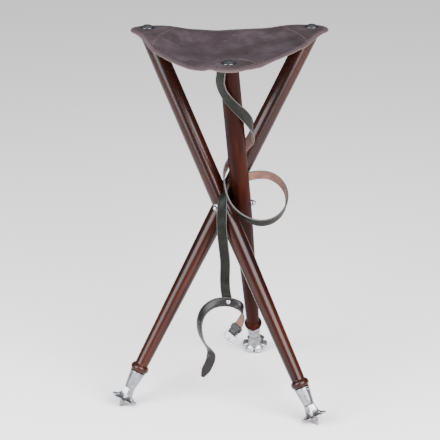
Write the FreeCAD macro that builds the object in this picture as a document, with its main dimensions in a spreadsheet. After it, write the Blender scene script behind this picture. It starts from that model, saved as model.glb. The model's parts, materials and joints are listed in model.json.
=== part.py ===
import FreeCAD, Part
import math
import os
from FreeCAD import Matrix, Placement, Rotation, Vector

# Folding tripod field stool: three turned wooden legs cross at a three-armed hub bolt and carry
# a sling seat of leather.  The stool stands open, feet on the plane z = 0.

doc = FreeCAD.newDocument("tripod_stool")
sheet = doc.addObject("Spreadsheet::Sheet", "Sizes")

# Driving dimensions, in millimetres and degrees.
DIMENSIONS = {
    # where the vertical stool axis stands in the part's frame
    "axis_x": 10.4,
    "axis_y": -12.68,
    # stance
    "lean_angle": 29.5,
    "hub_height": 368.6,
    "pivot_radius": 20.8,
    "seat_plane": 661.5,
    "top_gap": 0.06,
    "cup_gap": 0.16,
    # turned legs, measured along the leg from the hub bolt
    "leg_top_radius": 16.2,
    "leg_hub_radius": 17.0,
    "leg_foot_radius": 12.0,
    "leg_top_reach": 352.0,
    "bead_reach": 344.4,
    "bead_radius": 16.6,
    "bead_half": 8.0,
    "tenon_start": 346.0,
    "tenon_end": 378.0,
    "tenon_top_radius": 11.4,
    "tenon_tip_radius": 9.0,
    # hub bolt
    "bolt_radius": 3.5,
    "bolt_clearance": 0.05,
    "bolt_reach": 45.0,
    "washer_start": 38.1,
    "washer_radius": 6.5,
    "washer_thickness": 1.2,
    "nut_radius": 5.0,
    "nut_skirt": 2.6,
    # foot fittings
    "ferrule_start": 351.9,
    "ferrule_end": 384.0,
    "ferrule_top_radius": 13.4,
    "ferrule_tip_radius": 9.8,
    "ferrule_lip": 1.6,
    "ferrule_lip_radius": 14.0,
    "nail_reach": 358.0,
    "nail_radius": 0.9,
    "nail_head_radius": 2.0,
    "nail_length": 8.0,
    "neck_start": 384.2,
    "neck_waist": 399.0,
    "neck_top_radius": 10.2,
    "neck_waist_radius": 13.4,
    "neck_base_radius": 19.5,
    "plate_top": 406.2,
    "plate_thickness": 2.8,
    "plate_radius": 23.5,
    "petal_count": 6,
    "petal_gap_radius": 3.6,
    "spike_radius": 7.0,
    "spike_tip_radius": 1.6,
    "spike_tip": 425.0,
    "stud_radius": 3.0,
    "stud_end": 366.0,
    # seat
    "screw_reach": 166.5,
    "corner_radius": 30.0,
    "edge_hollow": 4.0,
    "leather_thickness": 3.0,
    "patch_thickness": 2.0,
    "patch_inset": 4.0,
    "patch_reach": 40.0,
    "seat_gap": 0.3,
    "seat_sag": 30.0,
    "front_left_sag": 23.0,
    "back_sag": 9.5,
    "front_right_sag": 14.0,
    "flat_radius": 20.0,
    "sag_ramp": 55.0,
    "cup_radius": 12.2,
    "cup_height": 1.4,
    "head_radius": 10.6,
    "head_height": 4.0,
    "screw_radius": 2.1,
    "screw_depth": 18.0,
    # carry strap and tie belt
    "strap_width": 18.0,
    "strap_thickness": 3.0,
    "belt_width": 17.0,
    "belt_thickness": 2.6,
    "rivet_radius": 1.6,
    "rivet_head_radius": 4.4,
    "rivet_head_height": 1.2,
    # buckle of the tie belt
    "buckle_bar_radius": 1.4,
    "buckle_width": 25.0,
    "buckle_length": 21.0,
    "buckle_clearance": 0.1,
    "prong_radius": 1.1,
    "prong_slot": 4.6,
    "keeper_length": 7.0,
    "keeper_thickness": 1.6,
}

for row, (alias, value) in enumerate(DIMENSIONS.items(), start=1):
    sheet.set("A%d" % row, alias)
    sheet.set("B%d" % row, str(value))
    sheet.setAlias("B%d" % row, alias)
doc.recompute()

LEGS = {"front": -90.0, "left": 150.0, "right": 30.0}      # azimuth of each leg's top end
ROUTE_ARC_STEPS = 4
SEAT_GRID = 31
SEAT_HALF_SPAN = 215.0
NODES = []


def size(alias):
    """A driving dimension, read back from the sheet."""
    return float(sheet.get(alias))


def bind(obj, expressions):
    """Bind properties of an object to formulas over the sheet's cells."""
    for prop, formula in expressions.items():
        obj.setExpression(prop, formula)
    return obj


def node(obj, label):
    """Give a finished sub-part its own label and list it for export."""
    obj.Label = label
    NODES.append(obj)
    return obj


def primitive(kind, name, expressions, placement=None):
    obj = doc.addObject(kind, name)
    if placement is not None:
        obj.Placement = placement
    return bind(obj, expressions)


def fuse(name, shapes):
    obj = doc.addObject("Part::MultiFuse", name)
    obj.Shapes = shapes
    obj.Refine = True
    return obj


def cut(name, base, tool):
    obj = doc.addObject("Part::Cut", name)
    obj.Base = base
    obj.Tool = tool
    return obj


def compound(name, links):
    obj = doc.addObject("Part::Compound", name)
    obj.Links = links
    return obj


def cone(name, low, high, radius_low, radius_high):
    """A cone frustum on the local Z axis between two signed stations."""
    return primitive("Part::Cone", name, {
        "Radius1": radius_low,
        "Radius2": radius_high,
        "Height": "(%s) - (%s)" % (high, low),
        "Placement.Base.z": low,
    })


def cylinder(name, low, high, radius):
    """A cylinder on the local Z axis between two signed stations."""
    return primitive("Part::Cylinder", name, {
        "Radius": radius,
        "Height": "(%s) - (%s)" % (high, low),
        "Placement.Base.z": low,
    })


# ---------------------------------------------------------------- frames of the legs and corners

LEAN = math.radians(size("lean_angle"))
STOOL_AXIS = Vector(size("axis_x"), size("axis_y"), 0)


def outward(azimuth):
    """Horizontal direction from the stool axis towards a leg's top end."""
    return Vector(math.cos(math.radians(azimuth)), math.sin(math.radians(azimuth)), 0)


def pivot_direction(azimuth):
    """Horizontal direction of the hub arm that a leg turns on."""
    return outward(azimuth + 90)


def hub_centre():
    return STOOL_AXIS + Vector(0, 0, size("hub_height"))


def leg_placement(azimuth):
    """Leg frame: origin at the hub bolt, X out along the bolt arm, Z up along the leg."""
    base = hub_centre() + pivot_direction(azimuth) * size("pivot_radius")
    turn = Rotation(Vector(0, 0, 1), azimuth + 90) * Rotation(Vector(1, 0, 0), size("lean_angle"))
    return Placement(base, turn)


def arm_placement(azimuth):
    """Hub arm frame: origin at the hub's centre, Z out along the arm."""
    turn = Rotation(Vector(0, 0, 1), azimuth + 90) * Rotation(Vector(0, 1, 0), 90)
    return Placement(hub_centre(), turn)


def corner_point(azimuth):
    """Centre of the flat end of a leg's top, where the seat screw enters."""
    point = STOOL_AXIS + pivot_direction(azimuth) * size("pivot_radius")
    point += outward(azimuth) * size("screw_reach")
    return point + Vector(0, 0, size("seat_plane"))


def level_box(name, station, side, up):
    """A big box in the leg frame whose lower or upper face is level in the standing stool."""
    box = doc.addObject("Part::Box", name)
    box.Length = box.Width = side
    box.Height = side
    level = Rotation(Vector(1, 0, 0), -size("lean_angle"))
    corner = Vector(-side / 2, -side / 2, 0 if up else -side)
    box.Placement = Placement(Vector(0, 0, station) + level.multVec(corner), level)
    return box


# ---------------------------------------------------------------- legs and their fittings

def turned_leg(side, azimuth):
    """Wooden leg: long double taper, round bead above the foot, tapered tenon for the ferrule."""
    upper = cone(side + "_leg_upper", "0", "Sizes.leg_top_reach", "Sizes.leg_hub_radius",
                 "Sizes.leg_top_radius")
    lower = cone(side + "_leg_lower", "-Sizes.bead_reach", "0", "Sizes.leg_foot_radius",
                 "Sizes.leg_hub_radius")
    bead = primitive("Part::Torus", side + "_leg_bead", {
        "Radius1": "Sizes.bead_radius - Sizes.bead_half",
        "Radius2": "Sizes.bead_half",
        "Placement.Base.z": "-Sizes.bead_reach",
    })
    tenon = tenon_cone(side + "_leg_tenon")
    stock = fuse(side + "_leg_stock", [upper, lower, bead, tenon])

    top = size("seat_plane") - size("top_gap")
    if side == "front":
        top -= size("strap_thickness") + 2 * size("top_gap")
    station = (top - size("hub_height")) / math.cos(LEAN)
    top_trim = level_box(side + "_leg_top_trim", station, 80, up=True)
    bolt_hole = primitive("Part::Cylinder", side + "_bolt_hole", {
        "Radius": "Sizes.bolt_radius + Sizes.bolt_clearance",
    }, Placement(Vector(-40, 0, 0), Rotation(Vector(0, 1, 0), 90)))
    bolt_hole.Height = 80
    stud_hole = cylinder(side + "_leg_stud_hole", "-Sizes.tenon_end - 1", "-Sizes.stud_end",
                         "Sizes.stud_radius")
    screw_hole = doc.addObject("Part::Cylinder", side + "_leg_screw_hole")
    bind(screw_hole, {"Radius": "Sizes.screw_radius", "Height": "Sizes.screw_depth + 5"})
    in_leg = leg_placement(azimuth).inverse()
    foot_of_hole = corner_point(azimuth) - Vector(0, 0, size("screw_depth"))
    screw_hole.Placement = in_leg * Placement(foot_of_hole, Rotation())
    nails = compound(side + "_leg_nail_holes", nail_shanks(side + "_leg"))
    waste = [top_trim, bolt_hole, stud_hole, screw_hole, nails]
    leg = cut(side + "_leg_cut", stock, fuse(side + "_leg_waste", waste))
    leg.Placement = leg_placement(azimuth)
    return node(leg, side + "_leg")


def tenon_cone(name):
    return cone(name, "-Sizes.tenon_end", "-Sizes.tenon_start", "Sizes.tenon_tip_radius",
                "Sizes.tenon_top_radius")


def nail_shanks(prefix):
    """Two nails enter the ferrule from opposite sides."""
    shanks = []
    for number, turn in enumerate((-90, 90)):
        shank = primitive("Part::Cylinder", "%s_nail_shank_%d" % (prefix, number), {
            "Radius": "Sizes.nail_radius",
            "Height": "Sizes.nail_length",
            "Placement.Base.z": "-Sizes.nail_reach",
            "Placement.Base.y": "%d * (Sizes.ferrule_top_radius + 0.4 - Sizes.nail_length)"
                                % (-1 if turn > 0 else 1),
        }, Placement(Vector(), Rotation(Vector(1, 0, 0), turn)))
        shanks.append(shank)
    return shanks


def ferrule(side, azimuth):
    """Tapered metal ferrule over the tenon, with a thin raised lip at its mouth."""
    body = cone(side + "_ferrule_body", "-Sizes.ferrule_end", "-Sizes.ferrule_start",
                "Sizes.ferrule_tip_radius", "Sizes.ferrule_top_radius")
    lip = cylinder(side + "_ferrule_rim", "-Sizes.ferrule_start - Sizes.ferrule_lip",
                   "-Sizes.ferrule_start", "Sizes.ferrule_lip_radius")
    outer = fuse(side + "_ferrule_outer", [body, lip])
    socket = tenon_cone(side + "_ferrule_socket")
    stud_hole = cylinder(side + "_ferrule_stud_hole", "-Sizes.ferrule_end - 1",
                         "-Sizes.tenon_end + 1", "Sizes.stud_radius")
    nails = compound(side + "_ferrule_nail_holes", nail_shanks(side + "_ferrule"))
    waste = fuse(side + "_ferrule_waste", [socket, stud_hole, nails])
    shell = cut(side + "_ferrule_cut", outer, waste)
    shell.Placement = leg_placement(azimuth)
    return node(shell, side + "_ferrule")


def ferrule_nails(side, azimuth):
    """Round-headed nails through the ferrule into the tenon."""
    pieces = []
    for number, shank in enumerate(nail_shanks(side + "_ferrule_nails")):
        turn = (-90, 90)[number]
        sign = -1 if turn > 0 else 1
        head = primitive("Part::Sphere", "%s_nail_head_%d" % (side, number), {
            "Radius": "Sizes.nail_head_radius",
            "Placement.Base.z": "-Sizes.nail_reach",
            "Placement.Base.y": "%d * (Sizes.ferrule_top_radius + 0.1)" % sign,
        }, Placement(Vector(), Rotation(Vector(1, 0, 0), turn)))
        head.Angle1 = 0
        pieces.append(fuse("%s_ferrule_nail_%d" % (side, number), [shank, head]))
    pair = compound(side + "_nail_pair", pieces)
    pair.Placement = leg_placement(azimuth)
    return node(pair, side + "_ferrule_nails")


def hexagon(name, station, radius):
    polygon = primitive("Part::RegularPolygon", name, {
        "Circumradius": radius,
        "Placement.Base.z": station,
    }, Placement(Vector(), Rotation(Vector(0, 0, 1), 30)))
    polygon.Polygon = 6
    return polygon


def foot_casting(side, azimuth):
    """Cast foot: six-sided neck that flares into a plate with rounded petals."""
    sections = [
        hexagon(side + "_neck_top", "-Sizes.neck_start", "Sizes.neck_top_radius"),
        hexagon(side + "_neck_waist", "-Sizes.neck_waist", "Sizes.neck_waist_radius"),
        hexagon(side + "_neck_base", "-Sizes.plate_top - 0.3", "Sizes.neck_base_radius"),
    ]
    neck = doc.addObject("Part::Loft", side + "_neck")
    neck.Sections = sections
    neck.Solid = True
    neck.Ruled = True
    plate = cylinder(side + "_plate", "-Sizes.plate_top - Sizes.plate_thickness",
                     "-Sizes.plate_top", "Sizes.plate_radius")
    gaps = []
    petals = int(size("petal_count"))
    for number in range(petals):
        angle = math.radians(360 / petals * (number + 0.5) + 30)
        gap = cylinder("%s_petal_gap_%d" % (side, number),
                       "-Sizes.plate_top - Sizes.plate_thickness - 1", "-Sizes.neck_start",
                       "Sizes.petal_gap_radius")
        bind(gap, {
            "Placement.Base.x": "Sizes.plate_radius * %.6f" % math.cos(angle),
            "Placement.Base.y": "Sizes.plate_radius * %.6f" % math.sin(angle),
        })
        gaps.append(gap)
    stud_hole = cylinder(side + "_casting_stud_hole", "-Sizes.plate_top - 10",
                         "-Sizes.neck_start + 5", "Sizes.stud_radius")
    waste = fuse(side + "_casting_waste", gaps + [stud_hole])
    casting = cut(side + "_casting_cut", fuse(side + "_casting_stock", [neck, plate]), waste)
    casting.Placement = leg_placement(azimuth)
    return node(casting, side + "_foot_casting")


def ground_spike(side, azimuth):
    """Steel spike with a stud up through the casting and ferrule into the tenon."""
    point = cone(side + "_spike_point", "-Sizes.spike_tip",
                 "-Sizes.plate_top - Sizes.plate_thickness", "Sizes.spike_tip_radius",
                 "Sizes.spike_radius")
    stud = cylinder(side + "_spike_stud", "-Sizes.plate_top - Sizes.plate_thickness - 1",
                    "-Sizes.stud_end", "Sizes.stud_radius")
    station = -size("hub_height") / math.cos(LEAN)
    ground = level_box(side + "_spike_ground", station, 80, up=False)
    spike = cut(side + "_spike_cut", fuse(side + "_spike_stock", [point, stud]), ground)
    spike.Placement = leg_placement(azimuth)
    return node(spike, side + "_ground_spike")


# ---------------------------------------------------------------- hub

def hub_bolt():
    """One forging: three threaded arms at 120 degrees around a small ball."""
    arms = []
    for side, azimuth in LEGS.items():
        arm = primitive("Part::Cylinder", "hub_arm_" + side, {
            "Radius": "Sizes.bolt_radius",
            "Height": "Sizes.bolt_reach",
        }, arm_placement(azimuth))
        arms.append(arm)
    ball = primitive("Part::Sphere", "hub_ball", {"Radius": "Sizes.bolt_radius + 0.1"},
                     Placement(hub_centre(), Rotation()))
    return node(fuse("hub_bolt_fused", arms + [ball]), "hub_bolt")


def hub_washers():
    rings = []
    for side, azimuth in LEGS.items():
        disc = cylinder("washer_disc_" + side, "Sizes.washer_start",
                        "Sizes.washer_start + Sizes.washer_thickness", "Sizes.washer_radius")
        hole = cylinder("washer_hole_" + side, "Sizes.washer_start - 1",
                        "Sizes.washer_start + Sizes.washer_thickness + 1", "Sizes.bolt_radius")
        ring = cut("washer_" + side, disc, hole)
        ring.Placement = arm_placement(azimuth)
        rings.append(ring)
    return node(compound("washer_group", rings), "hub_washers")


def hub_cap_nuts():
    """Domed nuts on the ends of the three arms."""
    nuts = []
    start = "Sizes.washer_start + Sizes.washer_thickness"
    for side, azimuth in LEGS.items():
        skirt = cylinder("nut_skirt_" + side, start, start + " + Sizes.nut_skirt",
                         "Sizes.nut_radius")
        dome = primitive("Part::Sphere", "nut_dome_" + side, {
            "Radius": "Sizes.nut_radius",
            "Placement.Base.z": start + " + Sizes.nut_skirt",
        })
        dome.Angle1 = 0
        thread = cylinder("nut_thread_" + side, start + " - 1", "Sizes.bolt_reach",
                          "Sizes.bolt_radius")
        nut = cut("nut_" + side, fuse("nut_stock_" + side, [skirt, dome]), thread)
        nut.Placement = arm_placement(azimuth)
        nuts.append(nut)
    return node(compound("nut_group", nuts), "hub_cap_nuts")


# ---------------------------------------------------------------- seat

def smooth(value):
    value = min(1.0, max(0.0, value))
    return value * value * (3 - 2 * value)


CORNERS = [corner_point(azimuth) for azimuth in LEGS.values()]


def seat_drop(x, y):
    """How far the leather hangs below the leg tops: most in the middle, less along the edges."""
    edge_sags = [size("front_left_sag"), size("back_sag"), size("front_right_sag")]
    (a, b, c) = CORNERS
    area = (b.x - a.x) * (c.y - a.y) - (c.x - a.x) * (b.y - a.y)
    share_b = ((x - a.x) * (c.y - a.y) - (c.x - a.x) * (y - a.y)) / area
    share_c = ((b.x - a.x) * (y - a.y) - (x - a.x) * (b.y - a.y)) / area
    shares = [max(0.0, share) for share in (1 - share_b - share_c, share_b, share_c)]
    middle = 27 * shares[0] * shares[1] * shares[2]
    edges = 4 * sum(sag * shares[number] * shares[(number + 1) % 3]
                    for number, sag in enumerate(edge_sags))
    nearest = min(math.hypot(x - p.x, y - p.y) for p in CORNERS)
    ramp = smooth((nearest - size("flat_radius")) / size("sag_ramp"))
    bowl = size("seat_sag") - 4 / 9 * sum(edge_sags)
    return ramp * (bowl * middle + edges)


def seat_slab(bottom, thickness):
    """Sagging sheet over the whole square round the seat, with its underside at bottom."""
    rows = []
    for row in range(SEAT_GRID):
        y = STOOL_AXIS.y + SEAT_HALF_SPAN * (2 * row / (SEAT_GRID - 1) - 1)
        points = []
        for column in range(SEAT_GRID):
            x = STOOL_AXIS.x + SEAT_HALF_SPAN * (2 * column / (SEAT_GRID - 1) - 1)
            points.append(Vector(x, y, bottom - seat_drop(x, y)))
        rows.append(points)
    surface = Part.BSplineSurface()
    surface.interpolate(rows)
    return surface.toShape().extrude(Vector(0, 0, thickness))


def seat_outline(inset):
    """Plan of the leather: round corners joined by hollow edges, as a tall prism."""
    radius = size("corner_radius") - inset
    points = sorted(CORNERS, key=lambda p: math.atan2(p.y - STOOL_AXIS.y, p.x - STOOL_AXIS.x))
    edges = []
    for number, corner in enumerate(points):
        after = points[(number + 1) % 3]
        before = points[number - 1]
        leave = side_normal(corner, after) * radius
        arrive = side_normal(before, corner) * radius
        tip = (leave + arrive).normalize() * radius
        flat = Vector(corner.x, corner.y, 0)
        edges.append(Part.Arc(flat + arrive, flat + tip, flat + leave).toShape())
        end = Vector(after.x, after.y, 0) + leave
        hollow = side_normal(corner, after) * size("edge_hollow")
        middle = (flat + leave + end) * 0.5 - hollow
        edges.append(Part.Arc(flat + leave, middle, end).toShape())
    face = Part.Face(Part.Wire(Part.__sortEdges__(edges)))
    return face.extrude(Vector(0, 0, 2 * size("seat_plane")))


def side_normal(start, end):
    """Horizontal unit vector that points out of the seat across one of its edges."""
    along = Vector(end.x - start.x, end.y - start.y, 0).normalize()
    return along.cross(Vector(0, 0, 1))


def feature(label, shape):
    """A sub-part whose shape is worked out from the sheet in this file."""
    obj = doc.addObject("Part::Feature", label + "_shape")
    place = shape.Placement
    obj.Shape = shape
    obj.Placement = place
    return node(obj, label)


def post(centre, radius, low, high):
    base = Vector(centre.x, centre.y, low)
    return Part.makeCylinder(radius, high - low, base, Vector(0, 0, 1))


def patch_bottom():
    return size("seat_plane")


def leather_bottom():
    return patch_bottom() + size("patch_thickness") + size("seat_gap")


def leather_top():
    return leather_bottom() + size("leather_thickness")


def seat_leather():
    slab = seat_slab(leather_bottom(), size("leather_thickness"))
    leather = slab.common(seat_outline(0))
    for corner in CORNERS:
        hole = post(corner, size("screw_radius") + size("seat_gap"), 600, 700)
        leather = leather.cut(hole)
    return feature("seat_leather", leather.Solids[0])


def corner_patch(side, azimuth):
    """Second layer of leather under one corner, sewn on across the corner."""
    slab = seat_slab(patch_bottom(), size("patch_thickness"))
    piece = slab.common(seat_outline(size("patch_inset")))
    corner = corner_point(azimuth)
    inner = size("screw_reach") - size("patch_reach")
    keep = Part.makeBox(200, 200, 200, Vector(inner, -100, 560))
    keep.rotate(Vector(), Vector(0, 0, 1), azimuth)
    keep.translate(STOOL_AXIS + pivot_direction(azimuth) * size("pivot_radius"))
    piece = piece.common(keep)
    piece = piece.cut(post(corner, size("screw_radius"), 600, 700))
    return feature(side + "_corner_patch", piece.Solids[0])


def seat_cup_washer(side, azimuth):
    """Shallow conical washer between the leather and the screw head."""
    centre = corner_point(azimuth)
    base = Placement(Vector(centre.x, centre.y, leather_top() + size("cup_gap")), Rotation())
    rim = primitive("Part::Cone", side + "_cup_rim", {
        "Radius1": "Sizes.cup_radius",
        "Radius2": "Sizes.head_radius",
        "Height": "Sizes.cup_height",
    })
    hole = primitive("Part::Cylinder", side + "_cup_hole", {"Radius": "Sizes.screw_radius"})
    hole.Height = 10
    washer = cut(side + "_cup_cut", rim, hole)
    washer.Placement = base
    return node(washer, side + "_seat_cup_washer")


def seat_screw(side, azimuth):
    """Dome-headed wood screw, upright through the leather into the leg's top."""
    centre = corner_point(azimuth)
    head_base = leather_top() + size("cup_gap") + size("cup_height")
    height = size("head_height")
    radius = size("head_radius")
    ball_radius = (radius * radius + height * height) / (2 * height)
    ball = primitive("Part::Sphere", side + "_head_ball", {})
    ball.Radius = ball_radius
    ball.Placement = Placement(Vector(0, 0, height - ball_radius), Rotation())
    clip = primitive("Part::Cylinder", side + "_head_clip", {
        "Radius": "Sizes.head_radius",
        "Height": "Sizes.head_height + 1",
    })
    dome = doc.addObject("Part::Common", side + "_head_dome")
    dome.Base = ball
    dome.Tool = clip
    depth = head_base - size("seat_plane") + size("screw_depth")
    shank = primitive("Part::Cylinder", side + "_screw_shank", {"Radius": "Sizes.screw_radius"})
    shank.Height = depth + 0.5
    shank.Placement = Placement(Vector(0, 0, -depth), Rotation())
    screw = fuse(side + "_screw_fused", [dome, shank])
    screw.Placement = Placement(Vector(centre.x, centre.y, head_base), Rotation())
    return node(screw, side + "_seat_screw")


# ---------------------------------------------------------------- carry strap and tie belt

# Points of the strap's middle line, measured from the stool axis, each with the direction that
# the strap's smooth face looks.  Its upper end lies on the front leg's flat top under the seat,
# held by the seat screw; it bends down over the edge and is wound round the front leg.
STRAP_ROUTE = [
    ((24.4, -159.4, 659.89), (0.00, 0.00, 1.00)),
    ((18.6, -171.0, 659.89), (0.00, 0.00, 1.00)),
    ((14.5, -179.0, 659.89), (0.00, 0.00, 1.00)),
    ((11.0, -186.0, 659.6), (-0.30, -0.60, 0.74)),
    ((10.4, -187.2, 650.0), (-0.45, -0.89, 0.00)),
    ((7.6, -178.5, 636.5), (-0.42, -0.86, -0.29)),
    ((10.5, -163.0, 615.0), (-0.30, -0.84, -0.42)),
    ((24.0, -150.0, 592.5), (0.05, -0.87, -0.49)),
    ((39.0, -131.5, 571.5), (0.55, -0.72, -0.42)),
    ((50.5, -107.0, 547.0), (0.95, -0.28, -0.14)),
    ((51.5, -77.0, 518.0), (0.85, 0.50, 0.10)),
    ((36.0, -46.0, 490.0), (0.30, 0.85, 0.40)),
    ((11.0, -30.0, 465.0), (-0.45, 0.80, 0.40)),
    ((-5.0, -31.0, 440.0), (-0.95, 0.25, 0.10)),
    ((-6.5, -38.0, 414.0), (-0.92, -0.35, -0.15)),
    ((0.5, -46.0, 391.0), (-0.72, -0.45, -0.53)),
    ((14.5, -49.0, 371.0), (-0.60, -0.42, -0.66)),
    ((35.0, -46.0, 353.0), (-0.25, -0.65, -0.72)),
    ((59.0, -35.0, 342.0), (0.25, -0.80, -0.55)),
    ((84.0, -15.0, 343.0), (0.70, -0.50, -0.50)),
    ((100.0, 13.0, 358.0), (0.95, 0.10, -0.20)),
    ((97.5, 39.0, 384.0), (0.80, 0.55, 0.15)),
    ((73.0, 49.0, 404.0), (0.20, 0.90, 0.35)),
    ((46.0, 32.0, 412.0), (-0.40, 0.88, 0.25)),
    ((24.0, 8.0, 412.0), (-0.55, 0.80, 0.10)),
    ((4.0, -5.0, 411.0), (-0.75, 0.62, 0.10)),
    ((-3.5, -25.5, 405.0), (-0.97, -0.10, 0.15)),
    ((-7.0, -45.0, 390.0), (-0.40, -0.85, 0.35)),
    ((-8.5, -51.0, 362.0), (0.00, -1.00, 0.05)),
    ((-8.5, -51.0, 334.0), (0.05, -1.00, 0.00)),
    ((-5.5, -51.0, 304.0), (0.05, -1.00, 0.00)),
    ((-2.0, -52.0, 272.0), (0.00, -1.00, 0.00)),
    ((-3.5, -51.5, 240.0), (0.00, -1.00, 0.00)),
    ((-2.5, -50.0, 214.0), (0.00, -1.00, 0.00)),
    ((2.5, -49.5, 192.0), (0.00, -1.00, 0.00)),
]

# The tie belt hangs by its rivet: the long end with the holes, then the short end to the buckle.
BELT_LONG_ROUTE = [
    ((17.0, -54.5, 197.0), (0.10, -0.98, 0.14)),
    ((-4.0, -54.5, 200.0), (-0.05, -0.98, 0.14)),
    ((-25.0, -54.6, 195.0), (-0.25, -0.85, 0.45)),
    ((-42.0, -54.5, 180.0), (-0.60, -0.75, 0.25)),
    ((-50.0, -54.0, 158.0), (-0.75, -0.65, 0.00)),
    ((-49.0, -53.0, 135.0), (-0.80, -0.60, -0.10)),
    ((-42.0, -51.0, 116.0), (-0.75, -0.35, -0.55)),
    ((-30.0, -49.0, 101.0), (-0.50, -0.65, -0.55)),
    ((-29.0, -51.0, 85.0), (0.20, -0.95, 0.10)),
    ((-37.0, -54.0, 68.0), (0.15, -0.97, 0.10)),
    ((-45.0, -56.0, 52.0), (0.10, -0.98, 0.10)),
]
BELT_SHORT_ROUTE = [
    ((17.0, -54.5, 197.0), (0.10, -0.98, 0.14)),
    ((27.6, -57.2, 190.0), (0.75, -0.45, 0.45)),
    ((30.4, -55.7, 175.2), (0.90, 0.40, 0.10)),
    ((23.4, -56.7, 159.2), (0.60, 0.78, -0.15)),
    ((14.4, -58.7, 146.2), (0.35, 0.92, -0.20)),
]


def vector(triple):
    return Vector(*triple)


def route_stations(route):
    """Middle line of a flat strap as straight runs joined by tangent arcs."""
    points = [vector(place) + STOOL_AXIS for place, facing in route]
    facings = [vector(facing).normalize() for place, facing in route]
    stations = [(points[0], (points[1] - points[0]).normalize(), facings[0])]
    length = 0.0
    last = points[0]
    for number in range(1, len(points) - 1):
        before = points[number] - points[number - 1]
        after = points[number + 1] - points[number]
        turn = before.getAngle(after)
        reach = 0.45 * min(before.Length, after.Length)
        radius = reach / math.tan(turn / 2)
        start = points[number] - Vector(before).normalize() * reach
        middle_way = (Vector(after).normalize() - Vector(before).normalize()).normalize()
        centre = points[number] + middle_way * (radius / math.cos(turn / 2))
        axis = Vector(before).cross(after).normalize()
        length += (start - last).Length + radius * turn
        for step in range(ROUTE_ARC_STEPS + 1):
            share = step / ROUTE_ARC_STEPS
            swing = Rotation(axis, math.degrees(turn) * share)
            place = centre + swing.multVec(start - centre)
            along = swing.multVec(Vector(before).normalize())
            side = 0.45 * (2 * share - 1)
            other = facings[number + 1] if side > 0 else facings[number - 1]
            facing = facings[number] * (1 - abs(side)) + other * abs(side)
            stations.append((place, along, facing))
        last = stations[-1][0]
    length += (points[-1] - last).Length
    stations.append((points[-1], (points[-1] - points[-2]).normalize(), facings[-1]))
    return stations, length


def strap_section(station, width, thickness):
    """Rectangle across the strap: width along the face, thickness along the facing."""
    place, along, facing = station
    across = along.cross(facing).normalize() * (width / 2)
    through = Vector(across).cross(along).normalize() * (thickness / 2)
    if through.dot(facing) < 0:
        through = through * -1
    corners = [place + across + through, place - across + through,
               place - across - through, place + across - through]
    return Part.makePolygon(corners + [corners[0]])


def strap_solid(route, width, thickness, name):
    stations, length = route_stations(route)
    sections = [strap_section(station, width, thickness) for station in stations]
    solid = Part.makeLoft(sections, True, True)
    if solid.Volume < 0:
        solid.reverse()
    print("%s: length %.1f mm, volume %.0f mm3" % (name, length, solid.Volume))
    return solid


def rivet_axis(route_point, facing):
    return vector(route_point) + STOOL_AXIS, vector(facing).normalize()


BELT_JOINT = ((3.5, -52.0, 199.0), (0.00, -0.99, 0.14))


def belt_rivet_post(radius, length):
    centre, facing = rivet_axis(*BELT_JOINT)
    return Part.makeCylinder(radius, length, centre - facing * (length / 2), facing)


def carry_strap():
    solid = strap_solid(STRAP_ROUTE, size("strap_width"), size("strap_thickness"), "carry_strap")
    screw_hole = post(corner_point(LEGS["front"]), size("screw_radius"), 640, 670)
    solid = solid.cut(screw_hole).cut(belt_rivet_post(size("rivet_radius"), 30))
    return feature("carry_strap", max(solid.Solids, key=lambda s: s.Volume))


def buckle_frame_placement():
    """Frame of the buckle: origin on the bar, X along the bar, Y out to the far side."""
    place, facing = BELT_SHORT_ROUTE[-1]
    before = BELT_SHORT_ROUTE[-2][0]
    along = (vector(place) - vector(before)).normalize()
    across = along.cross(vector(facing)).normalize()
    normal = across.cross(along).normalize()
    matrix = Matrix(across.x, along.x, normal.x, 0,
                    across.y, along.y, normal.y, 0,
                    across.z, along.z, normal.z, 0,
                    0, 0, 0, 1)
    reach = fold_radius() + 0.4
    placement = Placement(matrix)
    placement.Base = vector(place) + STOOL_AXIS + along * reach
    return placement


def fold_radius():
    """Outer radius of the belt's fold round the buckle bar."""
    return size("buckle_bar_radius") + size("buckle_clearance") + size("belt_thickness")


def bar_sleeve():
    """Fold of belt leather round the buckle bar, slotted in the middle for the prong."""
    inner = size("buckle_bar_radius") + size("buckle_clearance")
    width = size("belt_width")
    start = Vector(-width / 2, 0, 0)
    outer_skin = Part.makeCylinder(fold_radius(), width, start, Vector(1, 0, 0))
    bore = Part.makeCylinder(inner, width, start, Vector(1, 0, 0))
    slot = Part.makeBox(size("prong_slot"), 20, 20,
                        Vector(-size("prong_slot") / 2, -fold_radius() - 2, -10))
    return outer_skin, bore, slot


def tie_belt():
    """Belt that ties the folded legs: a pointed, punched end and a buckle end."""
    width = size("belt_width")
    thickness = size("belt_thickness")
    long_end = strap_solid(BELT_LONG_ROUTE, width, thickness, "tie_belt long end")
    short_end = strap_solid(BELT_SHORT_ROUTE, width, thickness, "tie_belt short end")
    placement = buckle_frame_placement()
    outer_skin, bore, slot = bar_sleeve()
    link = Part.makeBox(width, fold_radius() + 1.4, thickness,
                        Vector(-width / 2, -fold_radius() - 1.0, -thickness / 2))
    fold = outer_skin.fuse(link).cut(bore).cut(slot)
    fold.Placement = placement
    belt = long_end.fuse([short_end, fold])
    belt = belt.cut(belt_rivet_post(size("rivet_radius"), 30))
    for share in (4, 5, 6):
        place, facing = BELT_LONG_ROUTE[share]
        centre, direction = rivet_axis(place, facing)
        belt = belt.cut(Part.makeCylinder(1.6, 12, centre - direction * 6, direction))
    return feature("tie_belt", max(belt.Solids, key=lambda s: s.Volume))


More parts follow.
